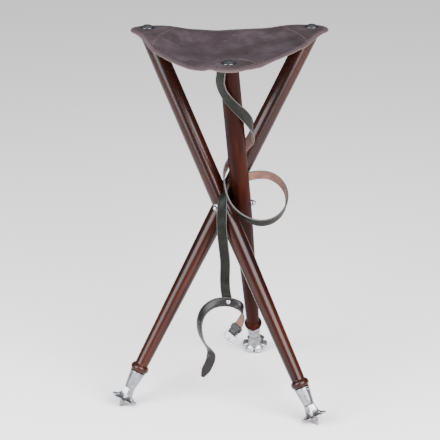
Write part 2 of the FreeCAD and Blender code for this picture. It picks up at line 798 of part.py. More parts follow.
def belt_rivet():
    """Tubular rivet through the strap's lower end and the belt."""
    grip = 9.2
    shank = belt_rivet_post(size("rivet_radius"), grip)
    centre, facing = rivet_axis(*BELT_JOINT)
    heads = []
    for sign in (-1, 1):
        start = centre + facing * (sign * grip / 2)
        heads.append(Part.makeCone(size("rivet_head_radius"), size("rivet_head_radius") * 0.7,
                                   size("rivet_head_height"), start, facing * sign))
    return feature("belt_rivet", shank.fuse(heads).removeSplitter())


def buckle_frame():
    """Round-cornered wire frame; its bar runs through the fold of the belt."""
    wire_radius = size("buckle_bar_radius")
    half = size("buckle_width") / 2 - wire_radius
    depth = size("buckle_length") - 2 * wire_radius
    corners = [Vector(-half, 0, 0), Vector(half, 0, 0), Vector(half, depth, 0),
               Vector(-half, depth, 0)]
    pieces = []
    for number, corner in enumerate(corners):
        after = corners[(number + 1) % 4]
        pieces.append(Part.makeCylinder(wire_radius, (after - corner).Length, corner,
                                        after - corner))
        pieces.append(Part.makeSphere(wire_radius, corner))
    frame = pieces[0].fuse(pieces[1:]).removeSplitter()
    frame.Placement = buckle_frame_placement()
    return feature("buckle_frame", frame)


def buckle_prong():
    """Wire prong that turns on the bar and rests on the far side of the frame."""
    bar = size("buckle_bar_radius")
    radius = size("prong_radius")
    clearance = size("buckle_clearance")
    half = size("prong_slot") / 2 - 0.8
    eye = Part.makeCylinder(bar + clearance + 1.3, 2 * half, Vector(-half, 0, 0), Vector(1, 0, 0))
    far = size("buckle_length") - 2 * bar
    lift = bar + radius + 0.15
    start = Vector(0, bar, radius)
    tip = Vector(0, far + 1.2, lift)
    arm = Part.makeCylinder(radius, (tip - start).Length, start, tip - start)
    arm = arm.fuse(Part.makeSphere(radius, tip))
    bore = Part.makeCylinder(bar + clearance, 10, Vector(-5, 0, 0), Vector(1, 0, 0))
    prong = eye.fuse(arm).cut(bore).removeSplitter()
    prong.Placement = buckle_frame_placement()
    return feature("buckle_prong", max(prong.Solids, key=lambda s: s.Volume))


def belt_keeper():
    """Leather loop round the belt behind the buckle."""
    gap = 0.3
    inner_width = size("belt_width") + 2 * gap
    inner_height = size("belt_thickness") + 3.2
    wall = size("keeper_thickness")
    length = size("keeper_length")
    low = -fold_radius() - 0.4 - length
    outer = Part.makeBox(inner_width + 2 * wall, length, inner_height + 2 * wall,
                         Vector(-inner_width / 2 - wall, low, -inner_height / 2 - wall))
    inner = Part.makeBox(inner_width, length, inner_height,
                         Vector(-inner_width / 2, low, -inner_height / 2))
    keeper = outer.cut(inner)
    keeper.Placement = buckle_frame_placement()
    return feature("belt_keeper", keeper)


# ---------------------------------------------------------------- the whole stool

for leg_side, leg_azimuth in LEGS.items():
    turned_leg(leg_side, leg_azimuth)
    ferrule(leg_side, leg_azimuth)
    ferrule_nails(leg_side, leg_azimuth)
    foot_casting(leg_side, leg_azimuth)
    ground_spike(leg_side, leg_azimuth)
    corner_patch(leg_side, leg_azimuth)
    seat_cup_washer(leg_side, leg_azimuth)
    seat_screw(leg_side, leg_azimuth)
hub_bolt()
hub_washers()
hub_cap_nuts()
seat_leather()
carry_strap()
tie_belt()
belt_rivet()
buckle_frame()
buckle_prong()
belt_keeper()
doc.recompute()

failed = [obj.Label for obj in doc.Objects if "Invalid" in obj.State or "Error" in obj.State]
if failed:
    raise RuntimeError("objects that failed: %s" % failed)
for obj in NODES:
    if obj.Shape.isNull() or not obj.Shape.isValid() or not obj.Shape.Solids:
        raise RuntimeError("bad shape: %s" % obj.Label)

os.makedirs("parts", exist_ok=True)
box = FreeCAD.BoundBox()
for obj in NODES:
    obj.Shape.exportStep("parts/%s.step" % obj.Label)
    if obj.Label not in ("carry_strap", "tie_belt", "belt_rivet", "buckle_frame",
                         "buckle_prong", "belt_keeper"):
        box.add(obj.Shape.optimalBoundingBox())
print("nodes", len(NODES), "box", box)
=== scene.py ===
import json
import math
import random

import bmesh
import bpy
import numpy as np
from mathutils import Matrix, Vector


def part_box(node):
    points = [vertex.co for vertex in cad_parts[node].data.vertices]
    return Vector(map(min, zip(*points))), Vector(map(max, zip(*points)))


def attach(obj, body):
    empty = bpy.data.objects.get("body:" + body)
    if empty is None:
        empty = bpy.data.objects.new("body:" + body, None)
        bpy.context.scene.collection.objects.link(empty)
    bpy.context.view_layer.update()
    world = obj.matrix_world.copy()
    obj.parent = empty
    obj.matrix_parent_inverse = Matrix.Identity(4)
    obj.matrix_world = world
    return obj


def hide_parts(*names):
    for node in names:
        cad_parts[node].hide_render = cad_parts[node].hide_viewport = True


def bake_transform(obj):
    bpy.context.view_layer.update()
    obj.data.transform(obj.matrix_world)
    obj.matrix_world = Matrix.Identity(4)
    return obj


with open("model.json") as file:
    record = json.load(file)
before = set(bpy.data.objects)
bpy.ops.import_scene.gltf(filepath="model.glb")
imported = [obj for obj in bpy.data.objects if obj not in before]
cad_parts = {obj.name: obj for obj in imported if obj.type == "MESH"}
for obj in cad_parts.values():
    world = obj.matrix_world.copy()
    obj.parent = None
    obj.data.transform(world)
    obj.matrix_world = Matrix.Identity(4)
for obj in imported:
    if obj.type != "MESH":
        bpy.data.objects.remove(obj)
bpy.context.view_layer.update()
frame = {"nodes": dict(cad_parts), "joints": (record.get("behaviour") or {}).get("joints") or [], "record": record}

MM = 0.001
UP = Vector((0, 0, 1))
SIDES = ("front", "left", "right")
JOINTS = {joint["name"]: joint for joint in frame["joints"]}
MOUNTS = {mount["name"]: mount for mount in frame["record"]["mounts"]}


# ---- places, taken from the frame

def pivot(side):
    """Point of a leg's axis on its hub bolt arm."""
    return Vector(JOINTS[f"leg_{side}_fold"]["pos_m"])


HUB = (pivot("front") + pivot("left") + pivot("right")) / 3
STOOL_AXIS = Vector((HUB.x, HUB.y, 0))


def leg_up(side):
    """Direction up along a leg, from where its spike meets the ground to the hub."""
    return (pivot(side) - Vector(MOUNTS[f"{side}_foot_rest"]["pos_m"])).normalized()


def leg_matrix(side):
    """Leg frame: origin at the hub bolt, X out along the bolt arm, Z up along the leg."""
    out = (pivot(side) - HUB).normalized()
    up = leg_up(side)
    return axes_matrix(out, up.cross(out), up, pivot(side))


def axes_matrix(x, y, z, origin):
    return Matrix.Translation(origin) @ Matrix((x, y, z)).transposed().to_4x4()


def aim_matrix(direction, origin):
    """Frame whose Z looks along direction."""
    return Matrix.Translation(origin) @ direction.to_track_quat("Z", "Y").to_matrix().to_4x4()


LEG_FRAME = {side: leg_matrix(side) for side in SIDES}
SCREW = {side: sum(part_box(f"{side}_seat_cup_washer"), Vector()) / 2 for side in SIDES}
CORNER_OUT = {side: Vector((*(SCREW[side] - STOOL_AXIS).xy, 0)).normalized() for side in SIDES}
CUP_GAP = 0.16 * MM
PATCH_STACK = 2.3 * MM
LEATHER_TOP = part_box("front_seat_cup_washer")[0].z - CUP_GAP
LEATHER_THICKNESS = 3.0 * MM
SEAT_PLANE = LEATHER_TOP - LEATHER_THICKNESS - PATCH_STACK


# ---- camera, lights, floor

def place_object(name, data, matrix=None):
    """Put a mesh, curve, light or camera into the scene."""
    obj = bpy.data.objects.new(name, data)
    bpy.context.scene.collection.objects.link(obj)
    if matrix is not None:
        obj.matrix_world = matrix
    return obj


def add_camera():
    """Long lens, a little to the right of the front leg and somewhat above the seat."""
    place = STOOL_AXIS + Vector((433.4, -3301.3, 1497.5)) * MM
    target = STOOL_AXIS + Vector((-14.4, -28.8, 344.0)) * MM
    roll = math.radians(-0.4)
    data = bpy.data.cameras.new("photo_camera")
    data.sensor_width, data.lens, data.clip_end = 36, 161.7, 50
    look = (target - place).to_track_quat("-Z", "Y").to_matrix().to_4x4()
    matrix = Matrix.Translation(place) @ look @ Matrix.Rotation(roll, 4, "Z")
    bpy.context.scene.camera = place_object("photo_camera", data, matrix)


def add_window(name, place, power, tint):
    """Large soft light that looks at the middle of the stool."""
    data = bpy.data.lights.new(name, "AREA")
    data.size, data.energy, data.color = 1.8, power, tint
    light = place_object(name, data)
    light.location = place
    aim = Vector((0, 0, 0.4)) - Vector(place)
    light.rotation_euler = aim.to_track_quat("-Z", "Y").to_euler()


def add_studio():
    """Bright from above, dim round the horizon, so the varnish keeps its colour."""
    world = bpy.data.worlds.new("studio")
    world.use_nodes = True
    tree = world.node_tree
    place = add(tree, "ShaderNodeTexCoord").outputs["Generated"]
    height = add(tree, "ShaderNodeSeparateXYZ", {"Vector": place}).outputs["Z"]
    sky = ramp(tree, height, [(0.0, 0.10), (0.30, 0.13), (0.60, 0.42), (1.0, 0.75)])
    tree.links.new(sky, tree.nodes["Background"].inputs["Color"])
    bpy.context.scene.world = world
    sun = bpy.data.lights.new("soft_sun", "SUN")
    sun.energy, sun.angle = 0.9, math.radians(50)
    place_object("soft_sun", sun).rotation_euler = (math.radians(28), math.radians(12), 0)
    add_window("window_right", (1.45, -1.55, 1.35), 190, (1.0, 0.93, 0.97))
    add_window("window_left", (-1.45, -1.55, 1.35), 160, (0.94, 0.95, 1.0))

    bpy.ops.mesh.primitive_plane_add(size=30)
    floor = bpy.context.object
    floor.name = "studio_floor"
    floor.data.materials.append(FLOOR)


# ---- material helpers

def add(tree, kind, inputs=None, **settings):
    """Add a node; an input may be a plain value or another node's output."""
    node = tree.nodes.new(kind)
    for key, value in settings.items():
        setattr(node, key, value)
    for key, value in (inputs or {}).items():
        if isinstance(value, bpy.types.NodeSocket):
            tree.links.new(value, node.inputs[key])
        else:
            node.inputs[key].default_value = value
    return node


def new_material(name, **sockets):
    """Principled material; socket names are given in words joined by underscores."""
    material = bpy.data.materials.new(name)
    material.use_nodes = True
    tree = material.node_tree
    for key, value in sockets.items():
        key = key.replace("_", " ").title().replace("Ior", "IOR")
        tree.nodes["Principled BSDF"].inputs[key].default_value = value
    return material, tree


def stretched(tree, scale):
    """Object coordinates, scaled per axis."""
    place = add(tree, "ShaderNodeTexCoord").outputs["Object"]
    return add(tree, "ShaderNodeMapping", {"Vector": place, "Scale": scale}).outputs["Vector"]


def noise(tree, scale, detail=4.0, roughness=0.55):
    """Noise; a scale of three numbers draws it out along the object's axes."""
    stretch, scale = (scale, 1.0) if isinstance(scale, tuple) else ((1, 1, 1), scale)
    return add(tree, "ShaderNodeTexNoise", {
        "Vector": stretched(tree, stretch), "Scale": scale, "Detail": detail,
        "Roughness": roughness,
    }).outputs["Fac"]


def ramp(tree, fac, stops):
    """Colour ramp; stops are (position, colour), a colour being three numbers or one grey."""
    node = add(tree, "ShaderNodeValToRGB", {"Fac": fac})
    elements = node.color_ramp.elements
    while len(elements) < len(stops):
        elements.new(0.5)
    for element, (position, colour) in zip(elements, stops):
        element.position = position
        if isinstance(colour, (int, float)):
            colour = (colour, colour, colour)
        element.color = (*colour, 1)
    return node.outputs["Color"]


def mix(tree, fac, first, second, blend="MIX"):
    """Mix two colours, each given as three numbers or as a colour output."""
    inputs = {0: fac}
    for index, value in ((6, first), (7, second)):
        inputs[index] = (*value, 1) if isinstance(value, tuple) else value
    return add(tree, "ShaderNodeMix", inputs, data_type="RGBA", blend_type=blend).outputs[2]


def multiply(tree, first, second):
    """Product of two colours."""
    return mix(tree, 1.0, first, second, "MULTIPLY")


def share_of(tree, name, share):
    """A point attribute of the mesh, scaled down."""
    value = add(tree, "ShaderNodeAttribute", attribute_name=name).outputs["Fac"]
    return add(tree, "ShaderNodeMath", {0: value, 1: share}, operation="MULTIPLY").outputs[0]


def dress(material, colour, layers, rough=None):
    """Link colour and roughness; layers are bumps of (height, strength, distance in metres)."""
    tree = material.node_tree
    links = {"Base Color": colour}
    if rough is not None:
        links["Roughness"] = rough
    for height, strength, distance in layers:
        inputs = {"Height": height, "Strength": strength, "Distance": distance}
        if "Normal" in links:
            inputs["Normal"] = links["Normal"]
        links["Normal"] = add(tree, "ShaderNodeBump", inputs).outputs["Normal"]
    for key, value in links.items():
        tree.links.new(value, tree.nodes["Principled BSDF"].inputs[key])
    return material


# ---- materials

def varnished_wood(name, varnish):
    """Mahogany-stained hardwood under clear varnish; the grain runs along local Z."""
    material, tree = new_material(
        name, roughness=0.5, coat_weight=varnish, coat_roughness=0.24,
        coat_ior=1.34, specular_ior_level=0.02)
    broad = noise(tree, (55, 55, 5), 3.0, 0.5)
    fibre = noise(tree, (620, 620, 16), 5.0, 0.6)
    pores = noise(tree, (1500, 1500, 60), 2.0, 0.4)
    colour = ramp(tree, broad, [(0.30, (0.007, 0.0012, 0.0006)), (0.50, (0.015, 0.0025, 0.0010)),
                                (0.72, (0.033, 0.0063, 0.0020))])
    streaks = ramp(tree, fibre, [(0.30, 0.62), (0.55, 0.95), (0.75, 1.12)])
    colour = multiply(tree, colour, streaks)
    specks = ramp(tree, pores, [(0.26, 0.45), (0.36, 1.0)])
    colour = mix(tree, 0.6, colour, specks, "MULTIPLY")
    return dress(material, colour, [(fibre, 0.10, 0.00015), (pores, 0.12, 0.0001)])


def cast_metal():
    """Bright cast aluminium, satin, a little pitted, with painted shade darkening its hollows."""
    material, tree = new_material("cast_aluminium", metallic=1.0, roughness=0.3)
    cloud = noise(tree, 90.0, 4.0)
    pits = noise(tree, 900.0, 3.0)
    dents = noise(tree, 260.0, 2.0)
    colour = ramp(tree, cloud, [(0.30, (0.15, 0.155, 0.165)), (0.52, (0.26, 0.268, 0.28)),
                                (0.75, (0.38, 0.386, 0.395))])
    # painted shade: ambient occlusion darkens the colour in the hollows and between the petals
    hollow = add(tree, "ShaderNodeAmbientOcclusion", {"Distance": 0.006}, samples=8)
    shade = ramp(tree, hollow.outputs["AO"], [(0.30, 0.32), (0.85, 1.0)])
    colour = multiply(tree, colour, shade)
    return dress(material, colour, [(dents, 0.25, 0.0004), (pits, 0.25, 0.0002)],
                 rough=ramp(tree, pits, [(0.3, 0.22), (0.7, 0.42)]))


def worn_steel():
    """Grey steel, blotched and scratched lengthwise."""
    material, tree = new_material("worn_steel", metallic=1.0, roughness=0.45)
    cloud = noise(tree, 300.0, 4.0)
    scratches = noise(tree, (1600, 1600, 200), 3.0, 0.5)
    colour = ramp(tree, cloud, [(0.30, (0.12, 0.11, 0.10)), (0.6, (0.30, 0.29, 0.28)),
                                (0.8, (0.45, 0.45, 0.44))])
    return dress(material, colour, [(scratches, 0.3, 0.0002)],
                 rough=ramp(tree, scratches, [(0.3, 0.3), (0.7, 0.6)]))


def nickel_plate(name, shade):
    """Polished plate; shade darkens its mirror colour evenly."""
    material, tree = new_material(name, metallic=1.0, roughness=0.12)
    cloud = noise(tree, 160.0, 4.0)
    scratches = noise(tree, (2200, 500, 900), 2.0, 0.5)
    colour = ramp(tree, cloud, [(0.3, (0.30, 0.31, 0.345)), (0.7, (0.46, 0.475, 0.52))])
    colour = multiply(tree, colour, (shade, shade, shade))
    return dress(material, colour, [(scratches, 0.08, 0.0001)],
                 rough=ramp(tree, scratches, [(0.35, 0.08), (0.7, 0.26)]))


def leather_grain(tree, size):
    """Pebbled hide: rounded cells about size metres across, broken up by noise."""
    vector = stretched(tree, (1, 1, 1))
    warp = add(tree, "ShaderNodeTexNoise", {"Vector": vector, "Scale": 0.5 / size, "Detail": 2.0})
    small = add(tree, "ShaderNodeVectorMath", {0: warp.outputs["Color"], "Scale": size * 0.8},
                operation="SCALE")
    total = add(tree, "ShaderNodeVectorMath", {0: vector, 1: small.outputs[0]}, operation="ADD")
    cells = add(tree, "ShaderNodeTexVoronoi", {"Vector": total.outputs[0], "Scale": 1 / size},
                feature="SMOOTH_F1")
    return cells.outputs["Distance"]


def seat_hide():
    """Dark brown-grey seat leather, satin and scuffed, paler along its turned hem; the pale scuff streaks are
    partly wear and partly painted sheen, and the seam groove is darkened with painted shade.
    """
    material, tree = new_material(
        "seat_hide", roughness=0.6, specular_ior_level=0.06, sheen_weight=0.02,
        sheen_roughness=0.4)
    cloud = noise(tree, 22.0, 5.0, 0.6)
    stain = noise(tree, 9.0, 3.0, 0.5)
    grain = leather_grain(tree, 0.0011)
    scuffs = noise(tree, (60, 420, 200), 4.0, 0.6)
    colour = ramp(tree, cloud, [(0.30, (0.014, 0.0102, 0.0117)), (0.50, (0.030, 0.0222, 0.0256)),
                                (0.72, (0.066, 0.0510, 0.0580))])
    tint = ramp(tree, stain, [(0.42, (0.019, 0.0165, 0.0140)), (0.62, (0.034, 0.0240, 0.0285))])
    colour = mix(tree, 0.4, colour, tint)
    # pale streaks: partly real scuffs, partly painted sheen
    colour = mix(tree, ramp(tree, scuffs, [(0.58, 0.0), (0.78, 0.45)]), colour,
                 (0.105, 0.088, 0.098))
    colour = mix(tree, share_of(tree, "hem", 0.8), colour, (0.062, 0.044, 0.048))
    # painted shade: the seam groove is darkened towards black
    colour = mix(tree, share_of(tree, "groove_shade", 0.8), colour, (0.010, 0.007, 0.007))
    return dress(material, colour, [(grain, 0.35, 0.0003), (cloud, 0.25, 0.0012)],
                 rough=ramp(tree, cloud, [(0.3, 0.50), (0.7, 0.68)]))


def suede(name, dark, light):
    """Flesh side of leather: matt and fibrous."""
    material, tree = new_material(name, roughness=0.85, sheen_weight=0.2,
                                          sheen_roughness=0.5, specular_ior_level=0.25)
    cloud = noise(tree, 60.0, 5.0, 0.65)
    nap = noise(tree, 1400.0, 3.0, 0.6)
    colour = ramp(tree, cloud, [(0.3, dark), (0.7, light)])
    flecks = ramp(tree, nap, [(0.3, 0.75), (0.7, 1.15)])
    colour = multiply(tree, colour, flecks)
    return dress(material, colour, [(nap, 0.5, 0.0003), (cloud, 0.2, 0.0008)])


def bridle_leather(name, tint, gloss):
    """Smooth near-black leather; tint multiplies its colour, gloss is its mirror strength."""
    material, tree = new_material(name, roughness=0.40, specular_ior_level=gloss)
    cloud = noise(tree, 45.0, 5.0, 0.6)
    grain = leather_grain(tree, 0.0007)
    scuffs = noise(tree, 240.0, 4.0, 0.65)
    colour = ramp(tree, cloud, [(0.3, (0.0032, 0.0038, 0.0032)), (0.55, (0.0066, 0.0076, 0.0064)),
                                (0.78, (0.0150, 0.0168, 0.0142))])
    colour = mix(tree, ramp(tree, scuffs, [(0.60, 0.0), (0.80, 0.35)]), colour,
                 (0.045, 0.044, 0.040))
    colour = multiply(tree, colour, tint)
    return dress(material, colour, [(grain, 0.22, 0.0002), (cloud, 0.2, 0.0008)],
                 rough=ramp(tree, cloud, [(0.3, 0.28), (0.7, 0.46)]))


def fibrous(name, roughness, scale, detail, stops, relief):
    """Plain fibres of two tones; relief is (bump strength, distance in metres)."""
    material, tree = new_material(name, roughness=roughness)
    fibre = noise(tree, scale, *detail)
    return dress(material, ramp(tree, fibre, stops), [(fibre, *relief)])


FLOOR = new_material("floor_white", base_color=(0.95, 0.95, 0.95, 1), roughness=0.9)[0]
WOOD = varnished_wood("varnished_mahogany", 0.75)
# painted shade: a copy of the wood with almost no varnish coat, so the front leg reflects little of the pale floor
# and reads darker
SHADED_FRONT_WOOD = varnished_wood("shaded_front_mahogany", 0.10)
CAST = cast_metal()
STEEL = worn_steel()
NICKEL = nickel_plate("polished_nickel", 1.0)
# a darker copy of the nickel, for the cup washers and the screw domes
DARK_NICKEL = nickel_plate("darkened_nickel", 0.40)
SEAT_HIDE = seat_hide()
SEAT_FLESH = suede("seat_flesh", (0.045, 0.024, 0.016), (0.10, 0.056, 0.038))
STRAP_HIDE = bridle_leather("strap_hide", (1.0, 1.0, 0.9), 0.07)
BELT_HIDE = bridle_leather("belt_hide", (0.8, 0.60, 0.68), 0.26)
STRAP_FLESH = suede("strap_flesh", (0.080, 0.036, 0.022), (0.19, 0.092, 0.062))
CUT_EDGE = fibrous("cut_edge", 0.5, 700.0, (4.0, 0.65),
                   [(0.3, (0.016, 0.013, 0.011)), (0.7, (0.044, 0.038, 0.032))], (0.35, 0.0003))
THREAD = fibrous("waxed_thread", 0.6, 2600.0, (2.0, 0.55),
                 [(0.35, (0.040, 0.030, 0.030)), (0.65, (0.095, 0.072, 0.070))], (0.5, 0.0001))


# ---- mesh helpers

def mesh_object(name, points, faces, materials, matrix=None, smooth_angle=35):
    mesh = bpy.data.meshes.new(name)
    mesh.from_pydata([tuple(point) for point in points], [], faces)
    mesh.validate()
    for material in materials:
        mesh.materials.append(material)
    mesh.shade_smooth()
    if smooth_angle is not None:
        mesh.set_sharp_from_angle(angle=math.radians(smooth_angle))
    return place_object(name, mesh, matrix)


def ring_surface(rings):
    """Points and faces of a closed skin through equal rings, each end closed by a fan."""
    count = len(rings[0])
    points = [point for ring in rings for point in ring]
    pairs = [(step, (step + 1) % count) for step in range(count)]
    last = len(points) - count
    faces = [(low + here, low + after, low + count + after, low + count + here)
             for low in range(0, last, count) for here, after in pairs]
    faces += [(after, here, last + count) for here, after in pairs]
    faces += [(last + here, last + after, last + count + 1) for here, after in pairs]
    for ring in (rings[0], rings[-1]):
        points.append(sum((Vector(p) for p in ring), Vector()) / count)
    return points, faces


def lathe(name, profile, material, matrix, segments=72, shape=None, smooth_angle=35):
    """Turn a profile of (radius, height) in millimetres; shape may vary the radius by angle."""
    rings = []
    for radius, height in profile:
        ring = []
        for step in range(segments):
            angle = 2 * math.pi * step / segments
            reach = radius if shape is None else shape(radius, height, angle)
            ring.append(Vector((reach * math.cos(angle), reach * math.sin(angle), height)) * MM)
        rings.append(ring)
    points, faces = ring_surface(rings)
    return mesh_object(name, points, faces, [material], matrix, smooth_angle)


def arc(centre_radius, centre_height, radius, start, end, steps):
    """Points of a circular arc in a profile, angles in degrees from straight out."""
    points = []
    for step in range(steps + 1):
        angle = math.radians(start + (end - start) * step / steps)
        points.append((centre_radius + radius * math.cos(angle),
                       centre_height + radius * math.sin(angle)))
    return points


def turn_faces_out(obj, cut=None):
    """Recalculate the normals; cut is a plane (place, normal) that clears what lies beyond."""
    mesh = bmesh.new()
    mesh.from_mesh(obj.data)
    if cut:
        turn = obj.matrix_world.inverted()
        found = bmesh.ops.bisect_plane(
            mesh, geom=mesh.verts[:] + mesh.edges[:] + mesh.faces[:], plane_co=turn @ cut[0],
            plane_no=turn.to_3x3() @ cut[1], clear_outer=True)
        rim = [item for item in found["geom_cut"] if isinstance(item, bmesh.types.BMEdge)]
        bmesh.ops.contextual_create(mesh, geom=rim)
    bmesh.ops.recalc_face_normals(mesh, faces=mesh.faces[:])
    mesh.to_mesh(obj.data)
    mesh.free()
    if cut:
        obj.data.set_sharp_from_angle(angle=math.radians(35))


def join(name, parts):
    """Join finished objects into one piece that keeps the first one's place."""
    bpy.ops.object.select_all(action="DESELECT")
    for part in parts:
        part.select_set(True)
    bpy.context.view_layer.objects.active = parts[0]
    bpy.ops.object.join()
    parts[0].name = name
    return parts[0]


def stand_in(obj, body, slot, *nodes):
    """Put a finished piece on its body, in place of the CAD nodes that it stands for."""
    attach(obj, body)
    if nodes:
        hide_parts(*nodes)
    return obj


# ---- strap and belt

# Rows of six numbers: a point of the strap's middle line in millimetres from the stool axis, then
# the direction that its smooth face looks. They are the same routes as the solid ones.
STRAP_ROUTE = [
    (24.4, -159.4, 659.89, 0, 0, 1), (18.6, -171, 659.89, 0, 0, 1), (14.5, -179, 659.89, 0, 0, 1),
    (11, -186, 659.6, -0.3, -0.6, 0.74), (10.4, -187.2, 650, -0.45, -0.89, 0),
    (7.6, -178.5, 636.5, -0.42, -0.86, -0.29), (10.5, -163, 615, -0.3, -0.84, -0.42),
    (24, -150, 592.5, 0.05, -0.87, -0.49), (39, -131.5, 571.5, 0.55, -0.72, -0.42),
    (50.5, -107, 547, 0.95, -0.28, -0.14), (51.5, -77, 518, 0.85, 0.5, 0.1),
    (36, -46, 490, 0.3, 0.85, 0.4), (11, -30, 465, -0.45, 0.8, 0.4),
    (-5, -31, 440, -0.95, 0.25, 0.1), (-6.5, -38, 414, -0.92, -0.35, -0.15),
    (0.5, -46, 391, -0.72, -0.45, -0.53), (14.5, -49, 371, -0.6, -0.42, -0.66),
    (35, -46, 353, -0.25, -0.65, -0.72), (59, -35, 342, 0.25, -0.8, -0.55),
    (84, -15, 343, 0.7, -0.5, -0.5), (100, 13, 358, 0.95, 0.1, -0.2),
    (97.5, 39, 384, 0.8, 0.55, 0.15), (73, 49, 404, 0.2, 0.9, 0.35),
    (46, 32, 412, -0.4, 0.88, 0.25), (24, 8, 412, -0.55, 0.8, 0.1), (4, -5, 411, -0.75, 0.62, 0.1),
    (-3.5, -25.5, 405, -0.97, -0.1, 0.15), (-7, -45, 390, -0.4, -0.85, 0.35),
    (-8.5, -51, 362, 0, -1, 0.05), (-8.5, -51, 334, 0.05, -1, 0), (-5.5, -51, 304, 0.05, -1, 0),
    (-2, -52, 272, 0, -1, 0), (-3.5, -51.5, 240, 0, -1, 0), (-2.5, -50, 214, 0, -1, 0),
    (2.5, -49.5, 192, 0, -1, 0),
]
BELT_LONG_ROUTE = [
    (17, -54.5, 197, 0.1, -0.98, 0.14), (-4, -54.5, 200, -0.05, -0.98, 0.14),
    (-25, -54.6, 195, -0.25, -0.85, 0.45), (-42, -54.5, 180, -0.6, -0.75, 0.25),
    (-50, -54, 158, -0.75, -0.65, 0), (-49, -53, 135, -0.8, -0.6, -0.1),
    (-42, -51, 116, -0.75, -0.35, -0.55), (-30, -49, 101, -0.5, -0.65, -0.55),
    (-29, -51, 85, 0.2, -0.95, 0.1), (-37, -54, 68, 0.15, -0.97, 0.1),
    (-45, -56, 52, 0.1, -0.98, 0.1),
]
BELT_SHORT_ROUTE = [
    (27.6, -57.2, 190, 0.75, -0.45, 0.45), (30.4, -55.7, 175.2, 0.9, 0.4, 0.1),
    (23.4, -56.7, 159.2, 0.6, 0.78, -0.15),
]
STRAP_WIDTH = 18.0 * MM
STRAP_THICKNESS = 3.0 * MM
BELT_WIDTH = 17.0 * MM
BELT_THICKNESS = 2.6 * MM
BUCKLE_BAR = 1.4 * MM
LEATHER_GAP = 0.15 * MM
BELT_JOINT = STOOL_AXIS + Vector((3.5, -52.0, 199.0)) * MM
BELT_JOINT_FACING = Vector((0.0, -0.99, 0.14)).normalized()


def route_points(route):
    """Places and facings of a route, in the row frame in metres."""
    places = [STOOL_AXIS + Vector(row[:3]) * MM for row in route]
    return places, [Vector(row[3:]).normalized() for row in route]


def new_curve(kind, count):
    """An empty 3D curve and its spline of count points."""
    curve = bpy.data.curves.new("route", "CURVE")
    curve.dimensions = "3D"
    spline = curve.splines.new(kind)
    (spline.points if kind == "NURBS" else spline.bezier_points).add(count - 1)
    return curve, spline


def curve_mesh(curve):
    """The mesh that a curve makes; the curve itself is used up."""
    holder = place_object("route", curve)
    mesh = bpy.data.meshes.new_from_object(holder)
    bpy.data.objects.remove(holder)
    bpy.data.curves.remove(curve)
    return mesh


def nurbs_line(places):
    """Points along the smooth NURBS spline with these control points."""
    curve, spline = new_curve("NURBS", len(places))
    for point, place in zip(spline.points, places):
        point.co = (*place, 1)
    spline.order_u, spline.use_endpoint_u, spline.resolution_u = 3, True, 24
    mesh = curve_mesh(curve)
    line = np.array([vertex.co for vertex in mesh.vertices])
    bpy.data.meshes.remove(mesh)
    return line


def run_of(line):
    """Distance of each point of a line from its start."""
    return np.concatenate([[0], np.cumsum(np.linalg.norm(np.diff(line, axis=0), axis=1))])


def unit(rows):
    """Each row scaled to length one."""
    return rows / np.linalg.norm(rows, axis=1)[:, None]


def ribbon_stations(places, facings, spacing):
    """Even stations along a flat strap: place, width direction, outward face and distance."""
    guide_reach = 10 * MM
    line = nurbs_line(places)
    guide = nurbs_line([p + f * guide_reach for p, f in zip(places, facings)])
    run = run_of(line)
    keep = np.concatenate([[True], np.diff(run) > 1e-7])
    line, guide, run = line[keep], guide[keep], run[keep]
    even = np.linspace(0, run[-1], max(8, int(run[-1] / spacing)) + 1)
    sample = np.stack([np.interp(even, run, line[:, axis]) for axis in range(3)], 1)
    facing = np.stack([np.interp(even, run, (guide - line)[:, axis]) for axis in range(3)], 1)
    along = unit(np.gradient(sample, axis=0))
    across = unit(np.cross(along, facing))
    return sample, across, np.cross(across, along), even


def strap_profile(width, thickness):
    """Half-round edged section: (across, through, kind); kind 0 is grain, 1 edge, 2 flesh."""
    crease = 0.35 * MM
    deep = thickness / 2
    round_ = deep * 0.75
    flat = width / 2 - round_
    section = [(share * flat, deep - (crease if abs(share) == 0.80 else 0.0), 0)
               for share in (-1.0, -0.86, -0.80, -0.74, -0.4, 0.0, 0.4, 0.74, 0.80, 0.86, 1.0)]
    turns = [math.radians(angle) for angle in (60, 30, 0, -30, -60)]
    section += [(flat + round_ * math.cos(turn), deep * math.sin(turn), 1) for turn in turns]
    section += [(share * flat, -deep, 2) for share in (1.0, 0.5, 0.0, -0.5, -1.0)]
    section += [(-flat - round_ * math.cos(turn), deep * math.sin(turn), 1)
                for turn in turns[::-1]]
    return section


def ribbon(name, places, facings, width, thickness, hide, narrow=None, spacing=1.6 * MM,
           wander=0.0, seed=1):
    """Flat leather strap along a route, and its path; narrow(distance, length) scales its width."""
    sample, across, outward, even = ribbon_stations(places, facings, spacing)
    section = strap_profile(width, thickness)
    rng = random.Random(seed)
    phases = [rng.uniform(0, 6.28) for wave in range(4)]
    rings = []
    for number, place in enumerate(sample):
        distance = even[number]
        scale = 1.0 if narrow is None else narrow(distance, even[-1])
        curl = wander * (math.sin(distance * 38 + phases[0]) + math.sin(distance * 91 + phases[1]))
        rings.append([Vector(place + across[number] * u * scale
                             + outward[number] * (v + curl * (u / (width / 2)) ** 2))
                      for u, v, kind in section])
    points, faces = ring_surface(rings)
    obj = mesh_object(name, points, faces, [hide, CUT_EDGE, STRAP_FLESH], smooth_angle=50)
    kinds = [kind for u, v, kind in section]
    count = len(kinds)
    for face in obj.data.polygons:
        step = face.index % count
        pair = (kinds[step], kinds[(step + 1) % count])
        at_end = face.index >= (len(rings) - 1) * count
        face.material_index = 1 if at_end or 1 in pair else pair[0]
    turn_faces_out(obj)
    return obj, sample


